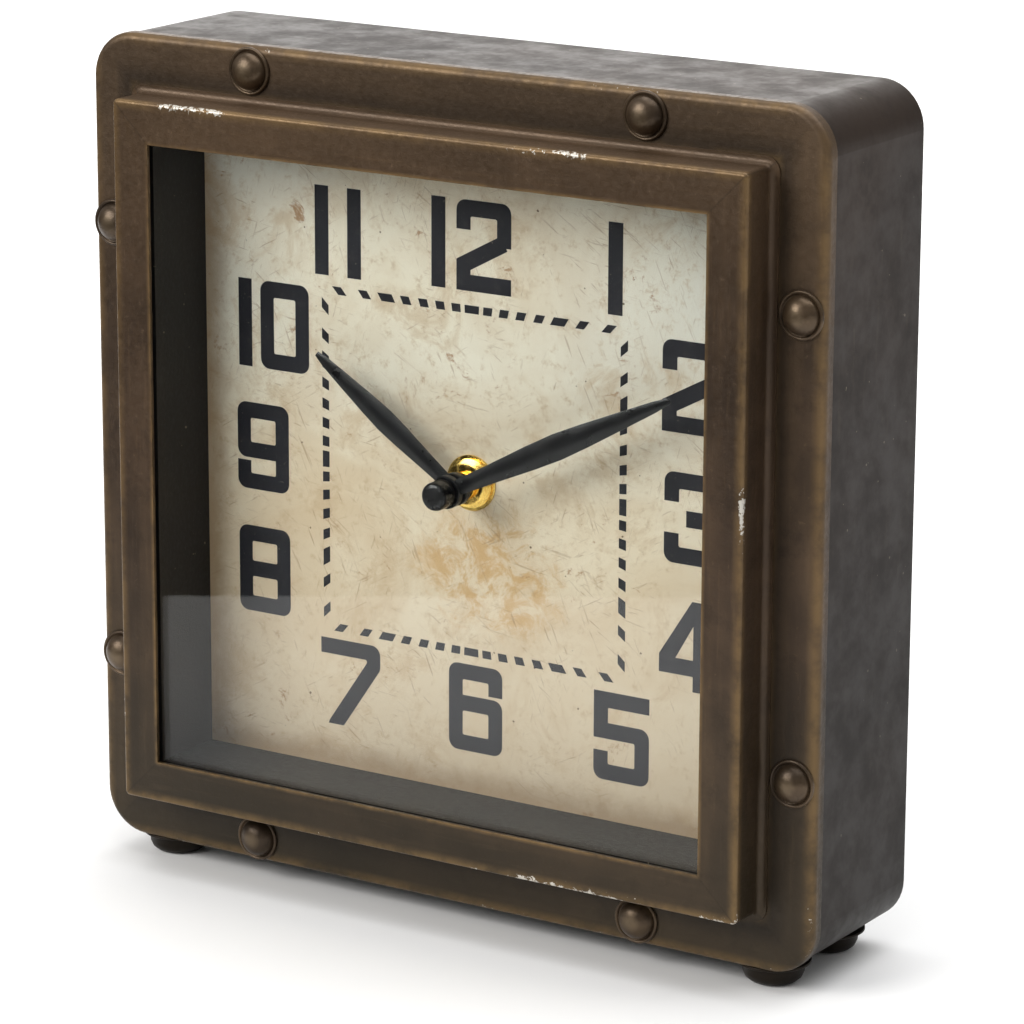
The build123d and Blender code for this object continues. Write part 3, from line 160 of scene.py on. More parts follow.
def brushing_effect():
    """Fine wire-brush streaks drawn out along one direction, with softer bands under them."""
    tree, w, given, out = effect("brushing", [("Place", VECTOR, None), ("Stretch", VECTOR, None)],
                                 [("Streaks", FLOAT), ("Bands", FLOAT)])
    drawn = w.stretched(given["Place"], given["Stretch"])
    w.feed(out["Streaks"], w.noise(drawn, 1.0, 4.0, 0.65))
    slower = w.stretched(drawn, (0.16, 0.16, 0.16))
    w.feed(out["Bands"], w.noise(slower, 1.0, 2.0, 0.5))
    return tree


def patina_effect():
    """Cloudy tarnish with fine pits in it."""
    tree, w, given, out = effect("patina", [("Place", VECTOR, None), ("Scale", FLOAT, 20.0)],
                                 [("Cloud", FLOAT), ("Mottle", FLOAT), ("Pits", FLOAT)])
    place, scale = given["Place"], given["Scale"]
    w.feed(out["Cloud"], w.spread(w.noise(place, scale, 3.0, 0.6, 0.4), 0.35, 0.68))
    w.feed(out["Mottle"], w.noise(place, w.sum("MULTIPLY", scale, 7.0), 4.0, 0.7))
    fine = w.noise(place, w.sum("MULTIPLY", scale, 60.0), 2.0, 0.6)
    w.feed(out["Pits"], w.spread(fine, 0.62, 0.74))
    return tree


def rubbed_edge_effect():
    """Wear that fades with the distance from an edge: a soft rub and sparse hard chips."""
    tree, w, given, out = effect(
        "rubbed_edge",
        [("Place", VECTOR, None), ("Distance", FLOAT, 1.0), ("Width", FLOAT, 0.003),
         ("Chipping", FLOAT, 0.5)],
        [("Rub", FLOAT), ("Chip", FLOAT)])
    near = w.sum("SUBTRACT", 1.0, w.sum("DIVIDE", given["Distance"], given["Width"]), clamp=True)
    uneven = w.spread(w.noise(given["Place"], 70.0, 4.0, 0.7), 0.32, 0.62, 0.25, 1.0)
    w.feed(out["Rub"], w.sum("MULTIPLY", w.sum("POWER", near, 1.4), uneven))
    patch = w.spread(w.noise(given["Place"], 24.0, 2.0, 0.5), 0.52, 0.66)
    crumb = w.noise(given["Place"], 620.0, 3.0, 0.75)
    reach = w.sum("MULTIPLY", w.sum("MULTIPLY", near, patch), given["Chipping"])
    w.feed(out["Chip"], w.spread(w.sum("ADD", crumb, w.sum("MULTIPLY", reach, 0.42)), 0.80, 0.86))
    return tree


def square_edge_effect():
    """Distance from a square corner line of a given half width and depth round the dial's centre.

    It also gives the inset from the square, the distance from its mitres, and 1 on its upright sides.
    """
    tree, w, given, out = effect(
        "square_edge",
        [("Place", VECTOR, None), ("Half", FLOAT, 0.1), ("Middle", FLOAT, 0.1), ("Depth", FLOAT, 0.0)],
        [("Distance", FLOAT), ("Inset", FLOAT), ("Mitre", FLOAT), ("Upright", FLOAT)])
    axes = axes_of(w, given["Place"])
    across = w.sum("ABSOLUTE", axes[0])
    upward = w.sum("ABSOLUTE", w.sum("SUBTRACT", axes[2], given["Middle"]))
    inset = w.sum("SUBTRACT", given["Half"], w.sum("MAXIMUM", across, upward))
    depth = w.sum("SUBTRACT", axes[1], given["Depth"])
    squares = w.sum("ADD", w.sum("MULTIPLY", inset, inset), w.sum("MULTIPLY", depth, depth))
    w.feed(out["Distance"], w.sum("SQRT", squares))
    w.feed(out["Inset"], inset)
    w.feed(out["Mitre"], w.sum("ABSOLUTE", w.sum("SUBTRACT", across, upward)))
    w.feed(out["Upright"], w.sum("GREATER_THAN", across, upward))
    return tree


def dust_effect():
    """Sparse specks of uneven size."""
    tree, w, given, out = effect("dust", [("Place", VECTOR, None), ("Scale", FLOAT, 900.0)],
                                 [("Specks", FLOAT)])
    cells = w.node("ShaderNodeTexVoronoi", {"Vector": given["Place"], "Scale": given["Scale"]})
    size = w.noise(given["Place"], 300.0, 1.0, 0.5)
    limit = w.spread(size, 0.62, 0.80, 0.0, 0.26)
    w.feed(out["Specks"], w.sum("LESS_THAN", cells.outputs["Distance"], limit))
    return tree


BRUSHING = brushing_effect()
PATINA = patina_effect()
RUBBED_EDGE = rubbed_edge_effect()
SQUARE_EDGE = square_edge_effect()
DUST = dust_effect()


def new_finish(name, **plain):
    """A material with one Principled shader: its wiring, shader and object coordinates."""
    material = bpy.data.materials.new(name)
    material.use_nodes = True
    shader = material.node_tree.nodes["Principled BSDF"]
    for label, value in plain.items():
        shader.inputs[label.replace("_", " ")].default_value = value
    wiring = Wiring(material.node_tree)
    place = wiring.node("ShaderNodeTexCoord").outputs["Object"]
    return material, wiring, shader, place


def raise_bump(w, shader, height, depth, strength):
    made = w.node("ShaderNodeBump", {"Height": height, "Distance": depth, "Strength": strength})
    w.feed(shader.inputs["Normal"], made.outputs["Normal"])


# ---- finishes ----
# Dark for the bezel's mitre seams, and painted shade on the panel beside the bezel's foot.
SEAM_AND_PAINTED_SHADE = tone(30, 25, 20)
RUBBED_BRONZE = tone(140, 112, 72)
BARE_METAL = tone(205, 200, 190)
LEVEL_STROKES = (38.0, 420.0, 520.0)
UPRIGHT_STROKES = (520.0, 420.0, 38.0)


def aged_bronze(name, dark, body, light, edges, rough=(0.36, 0.56), mitre=False):
    """Bronze paint brushed along each side; edges are (half, depth, width, chipping) square corner lines."""
    material, w, shader, place = new_finish(name, Metallic=0.35, Specular_IOR_Level=0.3)
    sides = w.group(SQUARE_EDGE, {"Place": place, "Half": HALF_BEZEL, "Middle": CENTRE_Z, "Depth": FRONT})
    level = w.group(BRUSHING, {"Place": place, "Stretch": LEVEL_STROKES})
    upright = w.group(BRUSHING, {"Place": place, "Stretch": UPRIGHT_STROKES})
    streaks = w.sum("MULTIPLY_ADD", sides["Upright"], w.sum("SUBTRACT", upright["Streaks"], level["Streaks"]),
                    level["Streaks"])
    bands = w.sum("MULTIPLY_ADD", sides["Upright"], w.sum("SUBTRACT", upright["Bands"], level["Bands"]),
                  level["Bands"])
    aged = w.group(PATINA, {"Place": place, "Scale": 17.0})
    grain = w.group(PATINA, {"Place": place, "Scale": 75.0})
    colour = w.blend(aged["Cloud"], dark, body)
    colour = w.blend(w.spread(bands, 0.45, 0.72, 0.0, 0.4), colour, light)
    colour = w.blend(w.spread(streaks, 0.5, 0.78, 0.0, 0.3), colour, light)
    colour = w.blend(w.sum("MULTIPLY", grain["Cloud"], 0.3), colour, dark)
    colour = w.blend(w.spread(aged["Mottle"], 0.5, 0.72, 0.0, 0.5), colour, dark)
    colour = w.blend(w.spread(grain["Mottle"], 0.6, 0.75, 0.0, 0.4), colour, light)
    # Painted shade darkens the lower part, and painted light brightens the upper part.
    low = axes_of(w, place)[2]
    colour = w.blend(w.spread(low, 0.14, 0.01, 0.0, 0.65), colour, tone(42, 37, 24))
    colour = w.blend(w.spread(low, 0.15, 0.26, 0.0, 0.35), colour, light)
    chips = None
    for half, depth, width, chipping in edges:
        line = w.group(SQUARE_EDGE, {"Place": place, "Half": half, "Middle": CENTRE_Z, "Depth": depth})
        wear = w.group(RUBBED_EDGE, {"Place": place, "Distance": line["Distance"], "Width": width,
                                     "Chipping": chipping})
        colour = w.blend(w.sum("MULTIPLY", wear["Rub"], 0.7), colour, RUBBED_BRONZE)
        chips = wear["Chip"] if chips is None else w.sum("MAXIMUM", chips, wear["Chip"])
    if mitre:
        seam = w.spread(sides["Mitre"], 0.0006, 0.0, 0.0, 0.3)
        colour = w.blend(seam, colour, SEAM_AND_PAINTED_SHADE)
    else:
        # Painted shade: the panel darkens towards the foot of the bezel.
        shade = w.spread(sides["Inset"], -0.011, -0.003, 0.0, 0.6)
        colour = w.blend(shade, colour, SEAM_AND_PAINTED_SHADE)
    colour = w.blend(chips, colour, BARE_METAL)
    w.feed(shader.inputs["Base Color"], colour)
    w.feed(shader.inputs["Roughness"], w.spread(grain["Mottle"], 0.3, 0.75, *rough))
    height = w.sum("MULTIPLY_ADD", streaks, 0.3, w.sum("MULTIPLY", grain["Mottle"], 0.6))
    raise_bump(w, shader, height, 0.0004, 0.45)
    return material


def dark_shell(name, body=(40, 32, 27), lit=(52, 42, 35), rough=(0.4, 0.56), metallic=0.15):
    """Satin dark paint on hand-bent sheet, with dents too shallow to see but in its reflections."""
    material, w, shader, place = new_finish(name, Metallic=metallic, Specular_IOR_Level=0.2)
    aged = w.group(PATINA, {"Place": place, "Scale": 11.0})
    brushed = w.group(BRUSHING, {"Place": place, "Stretch": (40.0, 260.0, 40.0)})
    specks = w.group(DUST, {"Place": place, "Scale": 500.0})
    colour = w.blend(aged["Cloud"], tone(*body), tone(*lit))
    colour = w.blend(w.spread(aged["Mottle"], 0.5, 0.75, 0.0, 0.5), colour, tone(34, 31, 28))
    colour = w.blend(w.spread(brushed["Streaks"], 0.55, 0.8, 0.0, 0.3), colour, tone(74, 65, 52))
    colour = w.blend(w.sum("MULTIPLY", specks["Specks"], 0.5), colour, tone(128, 118, 100))
    # Painted shade: darker towards the bottom of the sides and feet.
    low = axes_of(w, place)[2]
    colour = w.blend(w.spread(low, 0.22, 0.02, 0.0, 0.7), colour, tone(19, 15, 12))
    w.feed(shader.inputs["Base Color"], colour)
    w.feed(shader.inputs["Roughness"], w.spread(aged["Mottle"], 0.3, 0.7, *rough))
    waves = w.noise(place, 9.0, 1.0, 0.4)
    height = w.sum("MULTIPLY_ADD", waves, 1.0, w.sum("MULTIPLY", aged["Mottle"], 0.05))
    raise_bump(w, shader, height, 0.0014, 0.4)
    return material


def rivet_bronze():
    """Tarnished bronze, brighter on the crown of each dome."""
    material, w, shader, place = new_finish("rivet_bronze", Metallic=0.6)
    aged = w.group(PATINA, {"Place": place, "Scale": 55.0})
    colour = w.blend(aged["Cloud"], tone(62, 50, 38), tone(88, 72, 54))
    colour = w.blend(w.spread(aged["Mottle"], 0.5, 0.75, 0.0, 0.5), colour, tone(42, 34, 27))
    depth = axes_of(w, place)[1]
    # Brighter towards the crown of each dome.
    crown = w.spread(depth, FRONT - 3.4 * MM, FRONT - 4.3 * MM, 0.0, 0.5)
    colour = w.blend(crown, colour, tone(120, 104, 82))
    w.feed(shader.inputs["Base Color"], colour)
    w.feed(shader.inputs["Roughness"], w.spread(aged["Mottle"], 0.3, 0.75, 0.3, 0.46))
    raise_bump(w, shader, aged["Mottle"], 0.0003, 0.35)
    return material


def scuffs(w, place, angle, scale):
    """Short straight hairline marks lying at one angle on the dial."""
    size = (1 / scale, 1 / scale, 1 / (scale * 15))
    laid = w.node("ShaderNodeMapping", {"Vector": place, "Rotation": (0, angle, 0), "Scale": size},
                  vector_type="TEXTURE")
    marks = w.spread(w.noise(laid.outputs[0], 1.0, 2.0, 0.6, 0.5), 0.655, 0.7)
    return w.sum("MULTIPLY", marks, w.spread(w.noise(place, 24.0 + angle * 5, 2.0, 0.5), 0.46, 0.6))


SCUFF_ANGLES_AND_SCALES = ((0.62, 95.0), (-0.5, 120.0), (1.15, 80.0), (0.15, 105.0), (-1.3, 130.0))
# The middle of the brown bloom, from the dial's centre.
BLOOM_X = 0.006
BLOOM_Z = -0.026


def dial_paper():
    """Aged printed paper: cream with tan blotches, painted light on the upper part and painted shade on the
    lower part, a brown bloom under the hub, foxing and scuffs.
    """
    material, w, shader, place = new_finish("dial_paper", Specular_IOR_Level=0.3)
    axes = axes_of(w, place)
    cloud = w.spread(w.noise(place, 15.0, 5.0, 0.65, 0.8), 0.38, 0.64)
    colour = w.blend(cloud, tone(236, 224, 200), tone(216, 195, 164))
    # Painted light: a paler, cooler tone over the upper part of the dial.
    cool = w.spread(w.noise(place, 7.0, 2.0, 0.5), 0.36, 0.6, 0.2, 0.75)
    painted_light_top = w.spread(axes[2], CENTRE_Z - 0.02, CENTRE_Z + 0.07)
    colour = w.blend(w.sum("MULTIPLY", cool, painted_light_top), colour, tone(230, 232, 224))
    # Painted shade: the lower part of the dial is darker.
    painted_shade_bottom = w.spread(axes[2], CENTRE_Z + 0.02, CENTRE_Z - 0.08, 0.0, 0.7)
    colour = w.blend(painted_shade_bottom, colour, tone(206, 186, 159))
    worn = w.spread(w.noise(place, 42.0, 5.0, 0.75, 0.6), 0.5, 0.66, 0.0, 0.55)
    colour = w.blend(worn, colour, tone(196, 170, 136))
    fine = w.spread(w.noise(place, 260.0, 5.0, 0.78), 0.52, 0.72, 0.0, 0.6)
    colour = w.blend(fine, colour, tone(190, 164, 130))
    across = w.sum("SUBTRACT", axes[0], BLOOM_X)
    down = w.sum("SUBTRACT", axes[2], CENTRE_Z + BLOOM_Z)
    reach = w.sum("SQRT", w.sum("ADD", w.sum("MULTIPLY", across, across),
                                w.sum("MULTIPLY", w.sum("MULTIPLY", down, down), 1.7)))
    ragged = w.sum("MULTIPLY_ADD", w.noise(place, 48.0, 6.0, 0.75, 0.8), 0.04, reach)
    bloom = w.spread(ragged, 0.05, 0.036, 0.0, 0.8)
    bloom = w.sum("MULTIPLY", bloom, w.spread(w.noise(place, 110.0, 5.0, 0.75, 0.6), 0.4, 0.58, 0.15, 1.0))
    colour = w.blend(bloom, colour, tone(200, 160, 106))
    fox = w.spread(w.noise(place, 95.0, 6.0, 0.8, 0.5), 0.6, 0.68, 0.0, 0.8)
    fox = w.sum("MULTIPLY", fox, w.spread(w.noise(place, 22.0, 2.0, 0.5), 0.42, 0.58))
    colour = w.blend(fox, colour, tone(158, 114, 72))
    marks = None
    for angle, scale in SCUFF_ANGLES_AND_SCALES:
        more = scuffs(w, place, angle, scale)
        marks = more if marks is None else w.sum("MAXIMUM", marks, more)
    colour = w.blend(w.sum("MULTIPLY", marks, 0.42), colour, tone(146, 112, 78))
    specks = w.group(DUST, {"Place": place, "Scale": 420.0})
    colour = w.blend(w.sum("MULTIPLY", specks["Specks"], 0.85), colour, tone(92, 70, 48))
    # Darker brown towards the rim of the opening, where the dial meets the surround walls.
    rim = w.group(SQUARE_EDGE, {"Place": place, "Half": HALF_OPENING, "Middle": CENTRE_Z, "Depth": DIAL})
    rim_darkening = w.sum("MULTIPLY_ADD", w.noise(place, 60.0, 5.0, 0.75), -0.012, rim["Inset"])
    colour = w.blend(w.spread(rim_darkening, 0.004, -0.006, 0.0, 0.7), colour, tone(156, 126, 92))
    w.feed(shader.inputs["Base Color"], colour)
    w.feed(shader.inputs["Roughness"], w.spread(fine, 0.0, 0.5, 0.55, 0.75))
    height = w.sum("MULTIPLY_ADD", marks, -0.8, w.noise(place, 500.0, 3.0, 0.6))
    raise_bump(w, shader, height, 0.0002, 0.3)
    return material


def dial_ink():
    """Printed black, worn grey and flaked away in places."""
    material, w, shader, place = new_finish("dial_ink", Specular_IOR_Level=0.35)
    worn = w.spread(w.noise(place, 210.0, 5.0, 0.8), 0.5, 0.72, 0.0, 0.45)
    colour = w.blend(w.noise(place, 30.0, 2.0), tone(22, 22, 28), tone(32, 32, 38))
    colour = w.blend(worn, colour, tone(62, 58, 57))
    lost = w.spread(w.noise(place, 480.0, 4.0, 0.8), 0.66, 0.72, 0.0, 0.55)
    colour = w.blend(lost, colour, tone(150, 138, 120))
    w.feed(shader.inputs["Base Color"], colour)
    w.feed(shader.inputs["Roughness"], w.spread(worn, 0.0, 0.45, 0.42, 0.65))
    return material


def hand_black():
    """Smooth black paint with a faint haze."""
    material, w, shader, place = new_finish("hand_black", Specular_IOR_Level=0.4)
    haze = w.noise(place, 160.0, 3.0, 0.6)
    w.feed(shader.inputs["Base Color"], w.blend(haze, tone(7, 7, 8), tone(15, 15, 17)))
    w.feed(shader.inputs["Roughness"], w.spread(haze, 0.3, 0.7, 0.26, 0.4))
    raise_bump(w, shader, w.noise(place, 900.0, 2.0, 0.5), 0.0001, 0.2)
    return material


def polished_brass():
    """Turned brass, dulled in patches."""
    material, w, shader, place = new_finish("polished_brass", Metallic=1.0)
    turned = w.noise(w.stretched(place, (300.0, 4000.0, 300.0)), 1.0, 3.0, 0.6)
    dull = w.spread(w.noise(place, 170.0, 3.0, 0.6), 0.45, 0.75, 0.0, 0.6)
    w.feed(shader.inputs["Base Color"], w.blend(dull, tone(236, 200, 110), tone(190, 148, 68)))
    w.feed(shader.inputs["Roughness"], w.spread(turned, 0.3, 0.7, 0.14, 0.32))
    raise_bump(w, shader, turned, 0.0001, 0.4)
    return material


def surround_black():
    """Fine grained black paint with dust on it."""
    material, w, shader, place = new_finish("surround_black", Specular_IOR_Level=0.4)
    grain = w.noise(place, 700.0, 3.0, 0.7)
    specks = w.group(DUST, {"Place": place, "Scale": 620.0})
    colour = w.blend(w.spread(grain, 0.4, 0.7), tone(20, 18, 17), tone(34, 31, 29))
    colour = w.blend(w.sum("MULTIPLY", specks["Specks"], 0.8), colour, tone(120, 108, 92))
    w.feed(shader.inputs["Base Color"], colour)
    w.feed(shader.inputs["Roughness"], w.spread(grain, 0.3, 0.7, 0.45, 0.65))
    raise_bump(w, shader, grain, 0.0003, 0.4)
    return material


GLASS_TINT = (0.97, 0.985, 0.98, 1.0)
GLASS_SHADOW_TINT = (0.95, 0.965, 0.96, 1.0)


def clear_glass():
    """Window glass with a trace of smear; light from the lamps passes straight through."""
    material, w, shader, place = new_finish("clear_glass", Transmission_Weight=1.0, IOR=1.3)
    shader.inputs["Base Color"].default_value = GLASS_TINT
    smear = w.noise(place, 14.0, 4.0, 0.6, 1.0)
    w.feed(shader.inputs["Roughness"], w.spread(smear, 0.5, 0.8, 0.0, 0.05))
    through = w.node("ShaderNodeBsdfTransparent", {"Color": GLASS_SHADOW_TINT})
    rays = w.node("ShaderNodeLightPath").outputs
    lets_by = w.sum("MAXIMUM", rays["Is Shadow Ray"], rays["Is Diffuse Ray"])
    mixed = w.node("ShaderNodeMixShader", {0: lets_by, 1: shader.outputs[0], 2: through.outputs[0]})
    output = material.node_tree.nodes["Material Output"]
    w.feed(output.inputs["Surface"], mixed.outputs[0])
    return material


def moulded(name, low, high, rough=(0.38, 0.55)):
    """Moulded plastic or rubber with a fine spark-eroded grain."""
    material, w, shader, place = new_finish(name, Specular_IOR_Level=0.4)
    grain = w.noise(place, 1400.0, 2.0, 0.6)
    cloud = w.noise(place, 40.0, 3.0, 0.6)
    w.feed(shader.inputs["Base Color"], w.blend(w.spread(cloud, 0.3, 0.7), tone(*low), tone(*high)))
    w.feed(shader.inputs["Roughness"], w.spread(grain, 0.3, 0.7, *rough))
    raise_bump(w, shader, grain, 0.0001, 0.35)
    return material


def plated_steel(name, low=(150, 148, 142), high=(196, 194, 186), rough=(0.25, 0.42)):
    """Plated or bright steel with fine upright drawing lines and dull stains."""
    material, w, shader, place = new_finish(name, Metallic=1.0)
    drawn = w.noise(w.stretched(place, (900.0, 900.0, 120.0)), 1.0, 3.0, 0.6)
    stain = w.spread(w.noise(place, 90.0, 4.0, 0.7), 0.4, 0.7)
    w.feed(shader.inputs["Base Color"], w.blend(stain, tone(*high), tone(*low)))
    w.feed(shader.inputs["Roughness"], w.spread(drawn, 0.3, 0.7, *rough))
    raise_bump(w, shader, drawn, 0.0001, 0.3)
    return material


def pressed_board():
    """Hardboard: matted brown fibres."""
    material, w, shader, place = new_finish("pressed_board", Specular_IOR_Level=0.2)
    fibres = w.noise(place, 320.0, 6.0, 0.8, 1.2)
    cloud = w.noise(place, 18.0, 3.0, 0.6)
    colour = w.blend(w.spread(fibres, 0.35, 0.65), tone(84, 60, 40), tone(134, 100, 68))
    colour = w.blend(w.spread(cloud, 0.4, 0.7, 0.0, 0.4), colour, tone(98, 74, 52))
    w.feed(shader.inputs["Base Color"], colour)
    w.feed(shader.inputs["Roughness"], w.spread(fibres, 0.3, 0.7, 0.7, 0.9))
    raise_bump(w, shader, fibres, 0.0003, 0.5)
    return material


WIRE_PITCH = 0.00016


def wound_copper():
    """Lacquered copper wire laid in close turns along X."""
    material, w, shader, place = new_finish("wound_copper", Metallic=0.9)
    along = axes_of(w, place)[0]
    turns = w.sum("SINE", w.sum("MULTIPLY", along, 2 * math.pi / WIRE_PITCH))
    cloud = w.noise(place, 300.0, 2.0)
    w.feed(shader.inputs["Base Color"], w.blend(cloud, tone(170, 84, 44), tone(206, 122, 74)))
    w.feed(shader.inputs["Roughness"], w.spread(cloud, 0.3, 0.7, 0.25, 0.4))
    raise_bump(w, shader, turns, 0.00004, 0.8)
    return material


FINISHES = {
    "case_bronze": aged_bronze(
        "case_bronze", tone(46, 36, 28), tone(74, 59, 46), tone(108, 88, 66),
        [(HALF_CASE, FRONT, 4.2 * MM, 0.55), (HALF_BEZEL + 2 * MM, FRONT, 2.4 * MM, 0.35)]),
    "bezel_bronze": aged_bronze(
        "bezel_bronze", tone(47, 36, 27), tone(75, 59, 45), tone(110, 88, 65),
        [(HALF_BEZEL, bezel_low.y, 3.4 * MM, 1.0), (HALF_OPENING, bezel_low.y, 1.3 * MM, 0.3)],
        rough=(0.32, 0.52), mitre=True),
    "rivet_bronze": rivet_bronze(),
    "case_dark": dark_shell("case_dark"),
    "clear_glass": clear_glass(),
    "gasket_rubber": moulded("gasket_rubber", (18, 18, 18), (26, 26, 25), (0.7, 0.85)),
    "surround_black": surround_black(),
    "dial_cream": dial_paper(),
    "dial_ink": dial_ink(),
    "hardboard": pressed_board(),
    "zinc_steel": plated_steel("zinc_steel"),
    "foot_black": dark_shell("foot_black", (44, 38, 31), (68, 58, 46), (0.34, 0.5), 0.5),
    "washer_rubber": moulded("washer_rubber", (22, 22, 22), (30, 30, 29), (0.7, 0.85)),
    "brass": polished_brass(),
    "movement_black": moulded("movement_black", (22, 22, 23), (31, 31, 32)),
    "gear_white": moulded("gear_white", (214, 212, 203), (228, 226, 218)),
    "gear_ivory": moulded("gear_ivory", (196, 190, 170), (212, 206, 188)),
    "stator_steel": plated_steel("stator_steel", (110, 110, 112), (146, 146, 148), (0.32, 0.5)),
    "copper_wire": wound_copper(),
    "board_green": moulded("board_green", (24, 66, 36), (32, 84, 46), (0.3, 0.45)),
    "contact_steel": plated_steel("contact_steel", (170, 170, 168), (214, 214, 210), (0.12, 0.26)),
    "cell_wrap": moulded("cell_wrap", (34, 34, 37), (46, 46, 50), (0.2, 0.32)),
    "hand_black": hand_black(),
}
SLOT_OF = {part["node"]: part["material_slot"] for part in frame["record"]["subparts"]}


def dress(piece, slot):
    piece.data.materials.clear()
    piece.data.materials.append(FINISHES[slot])
    return piece


for name, node in cad.items():
    dress(node, SLOT_OF[name])


# ---- modelling ----
def deselect():
    bpy.ops.object.select_all(action="DESELECT")


def activate(piece):
    deselect()
    piece.select_set(True)
    bpy.context.view_layer.objects.active = piece


def finish_piece(piece, name, slot, body, *stands_for, angle=35):
    """Names a piece, applies its place to its mesh, smooths it, dresses it and lets it ride."""
    activate(piece)
    piece.name = piece.data.name = name
    bpy.ops.object.transform_apply(location=True, rotation=True, scale=True)
    bpy.ops.object.shade_smooth_by_angle(angle=math.radians(angle))
    deselect()
    dress(piece, slot)
    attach(piece, body)
    if stands_for:
        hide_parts(*stands_for)
    return piece


def outward(piece):
    """Merges a piece's doubles and turns its faces outwards."""
    activate(piece)
    bpy.ops.object.mode_set(mode="EDIT")
    bpy.ops.mesh.select_all(action="SELECT")
    bpy.ops.mesh.remove_doubles(threshold=WELD)
    bpy.ops.mesh.normals_make_consistent(inside=False)
    bpy.ops.object.mode_set(mode="OBJECT")


def turned_piece(stations, centre, direction, sides=48):
    """Lathe-turned piece: a ring is extruded from station to station, each a (radius, distance)
    pair along direction from centre. A station of no radius closes the end."""
    turn = UP.rotation_difference(direction).to_euler()
    radius, distance = stations[0]
    start = centre + direction * distance
    first = max(radius, PINPOINT)
    bpy.ops.mesh.primitive_circle_add(vertices=sides, radius=first, fill_type="NOTHING", location=start,
                                      rotation=turn)
    piece = bpy.context.object
    bpy.ops.object.mode_set(mode="EDIT")
    bpy.ops.mesh.select_mode(type="VERT")
    bpy.ops.mesh.select_all(action="SELECT")
    if radius == 0:
        first = stations[1][0]
        bpy.ops.transform.resize(value=(first / PINPOINT,) * 3, center_override=start)
        bpy.ops.transform.translate(value=direction * (stations[1][1] - distance))
        bpy.ops.mesh.edge_face_add()
        stations = stations[1:]
        distance = stations[0][1]
    current = first
    for radius, far in stations[1:]:
        step = direction * (far - distance)
        bpy.ops.mesh.extrude_region_move(TRANSFORM_OT_translate={"value": step})
        middle = centre + direction * far
        if radius == 0:
            bpy.ops.mesh.merge(type="CENTER")
        else:
            bpy.ops.transform.resize(value=(radius / current,) * 3, center_override=middle)
            current = radius
        distance = far
    bpy.ops.object.mode_set(mode="OBJECT")
    outward(piece)
    return piece


def apply_bevel(piece, width, segments=2, angle=40):
    activate(piece)
    bevel = piece.modifiers.new("soft_edges", "BEVEL")
    bevel.width = width
    bevel.segments = segments
    bevel.limit_method = "ANGLE"
    bevel.angle_limit = math.radians(angle)
    bpy.ops.object.modifier_apply(modifier=bevel.name)


def copies(piece, shifts):
    """The piece and one copy of it, with its own mesh, at each further shift from the first."""
    activate(piece)
    bpy.ops.object.transform_apply(location=True, rotation=True, scale=True)
    made = [piece]
    for shift in shifts[1:]:
        twin = piece.copy()
        twin.data = piece.data.copy()
        bpy.context.scene.collection.objects.link(twin)
        twin.data.transform(Matrix.Translation(shift - shifts[0]))
        made.append(twin)
    return made


def lumps(node):
    """Middle and half size of each separate solid of a CAD node, from its loose triangles."""
    mesh = bmesh.new()
    mesh.from_mesh(cad[node].data)
    bmesh.ops.remove_doubles(mesh, verts=mesh.verts, dist=WELD)
    unseen = set(mesh.verts)
    found = []
    while unseen:
        stack = [unseen.pop()]
        low = stack[0].co.copy()
        high = stack[0].co.copy()
        while stack:
            vertex = stack.pop()
            low = Vector(map(min, low, vertex.co))
            high = Vector(map(max, high, vertex.co))
            for edge in vertex.link_edges:
                other = edge.other_vert(vertex)
                if other in unseen:
                    unseen.remove(other)
                    stack.append(other)
        found.append((low, high))
    mesh.free()
    return sorted(found, key=lambda box: (round(box[0].x, 4), round(box[0].y, 4), round(box[0].z, 4)))


def ride_set(pieces, name, slot, body, node, angle=35):
    """Finishes copies under numbered names; each stands for the same CAD node."""
    for index, piece in enumerate(pieces):
        finish_piece(piece, f"{name}_{index + 1}", slot, body, node, angle=angle)


# ---- rivets ----
def rivets():
    """Domed heads in ring flanges, each with a shank and a clinched tail behind the panel."""
    boxes = lumps("front_rivets")
    middles = [(low + high) / 2 for low, high in boxes]
    ring = (boxes[0][1].x - boxes[0][0].x) / 2
    tail = boxes[0][1].y - FRONT
    dome = ring * 0.80
    rise = FRONT - boxes[0][0].y
    clinch = 3.2 * MM
    shank = 2.0 * MM
    seat = -0.05 * MM
    spring = 0.2 * MM
    base = Vector((middles[0].x, FRONT, middles[0].z))
    stations = [(0, -tail), (clinch, -tail), (clinch, -tail + 1.1 * MM), (shank, -tail + 1.25 * MM),
                (shank, seat), (ring - 0.1 * MM, seat), (ring, 0.15 * MM), (ring, 0.55 * MM),
                (ring - 0.2 * MM, 0.85 * MM), (ring - 0.5 * MM, 0.95 * MM), (ring - 0.85 * MM, 0.8 * MM),
                (ring - 1.0 * MM, 0.5 * MM), (dome + 0.12 * MM, 0.42 * MM), (dome, 0.75 * MM)]
    rings = 9
    for step in range(1, rings):
        lean = math.radians(8 + 82 * step / rings)
        stations.append((dome * math.cos(lean), spring + (rise - spring) * math.sin(lean)))
    stations.append((0, rise))
    piece = turned_piece(stations, base, OUT, 40)
    shifts = [Vector((m.x, FRONT, m.z)) for m in middles]
    ride_set(copies(piece, shifts), "front_rivet", "rivet_bronze", "case", "front_rivets", angle=50)


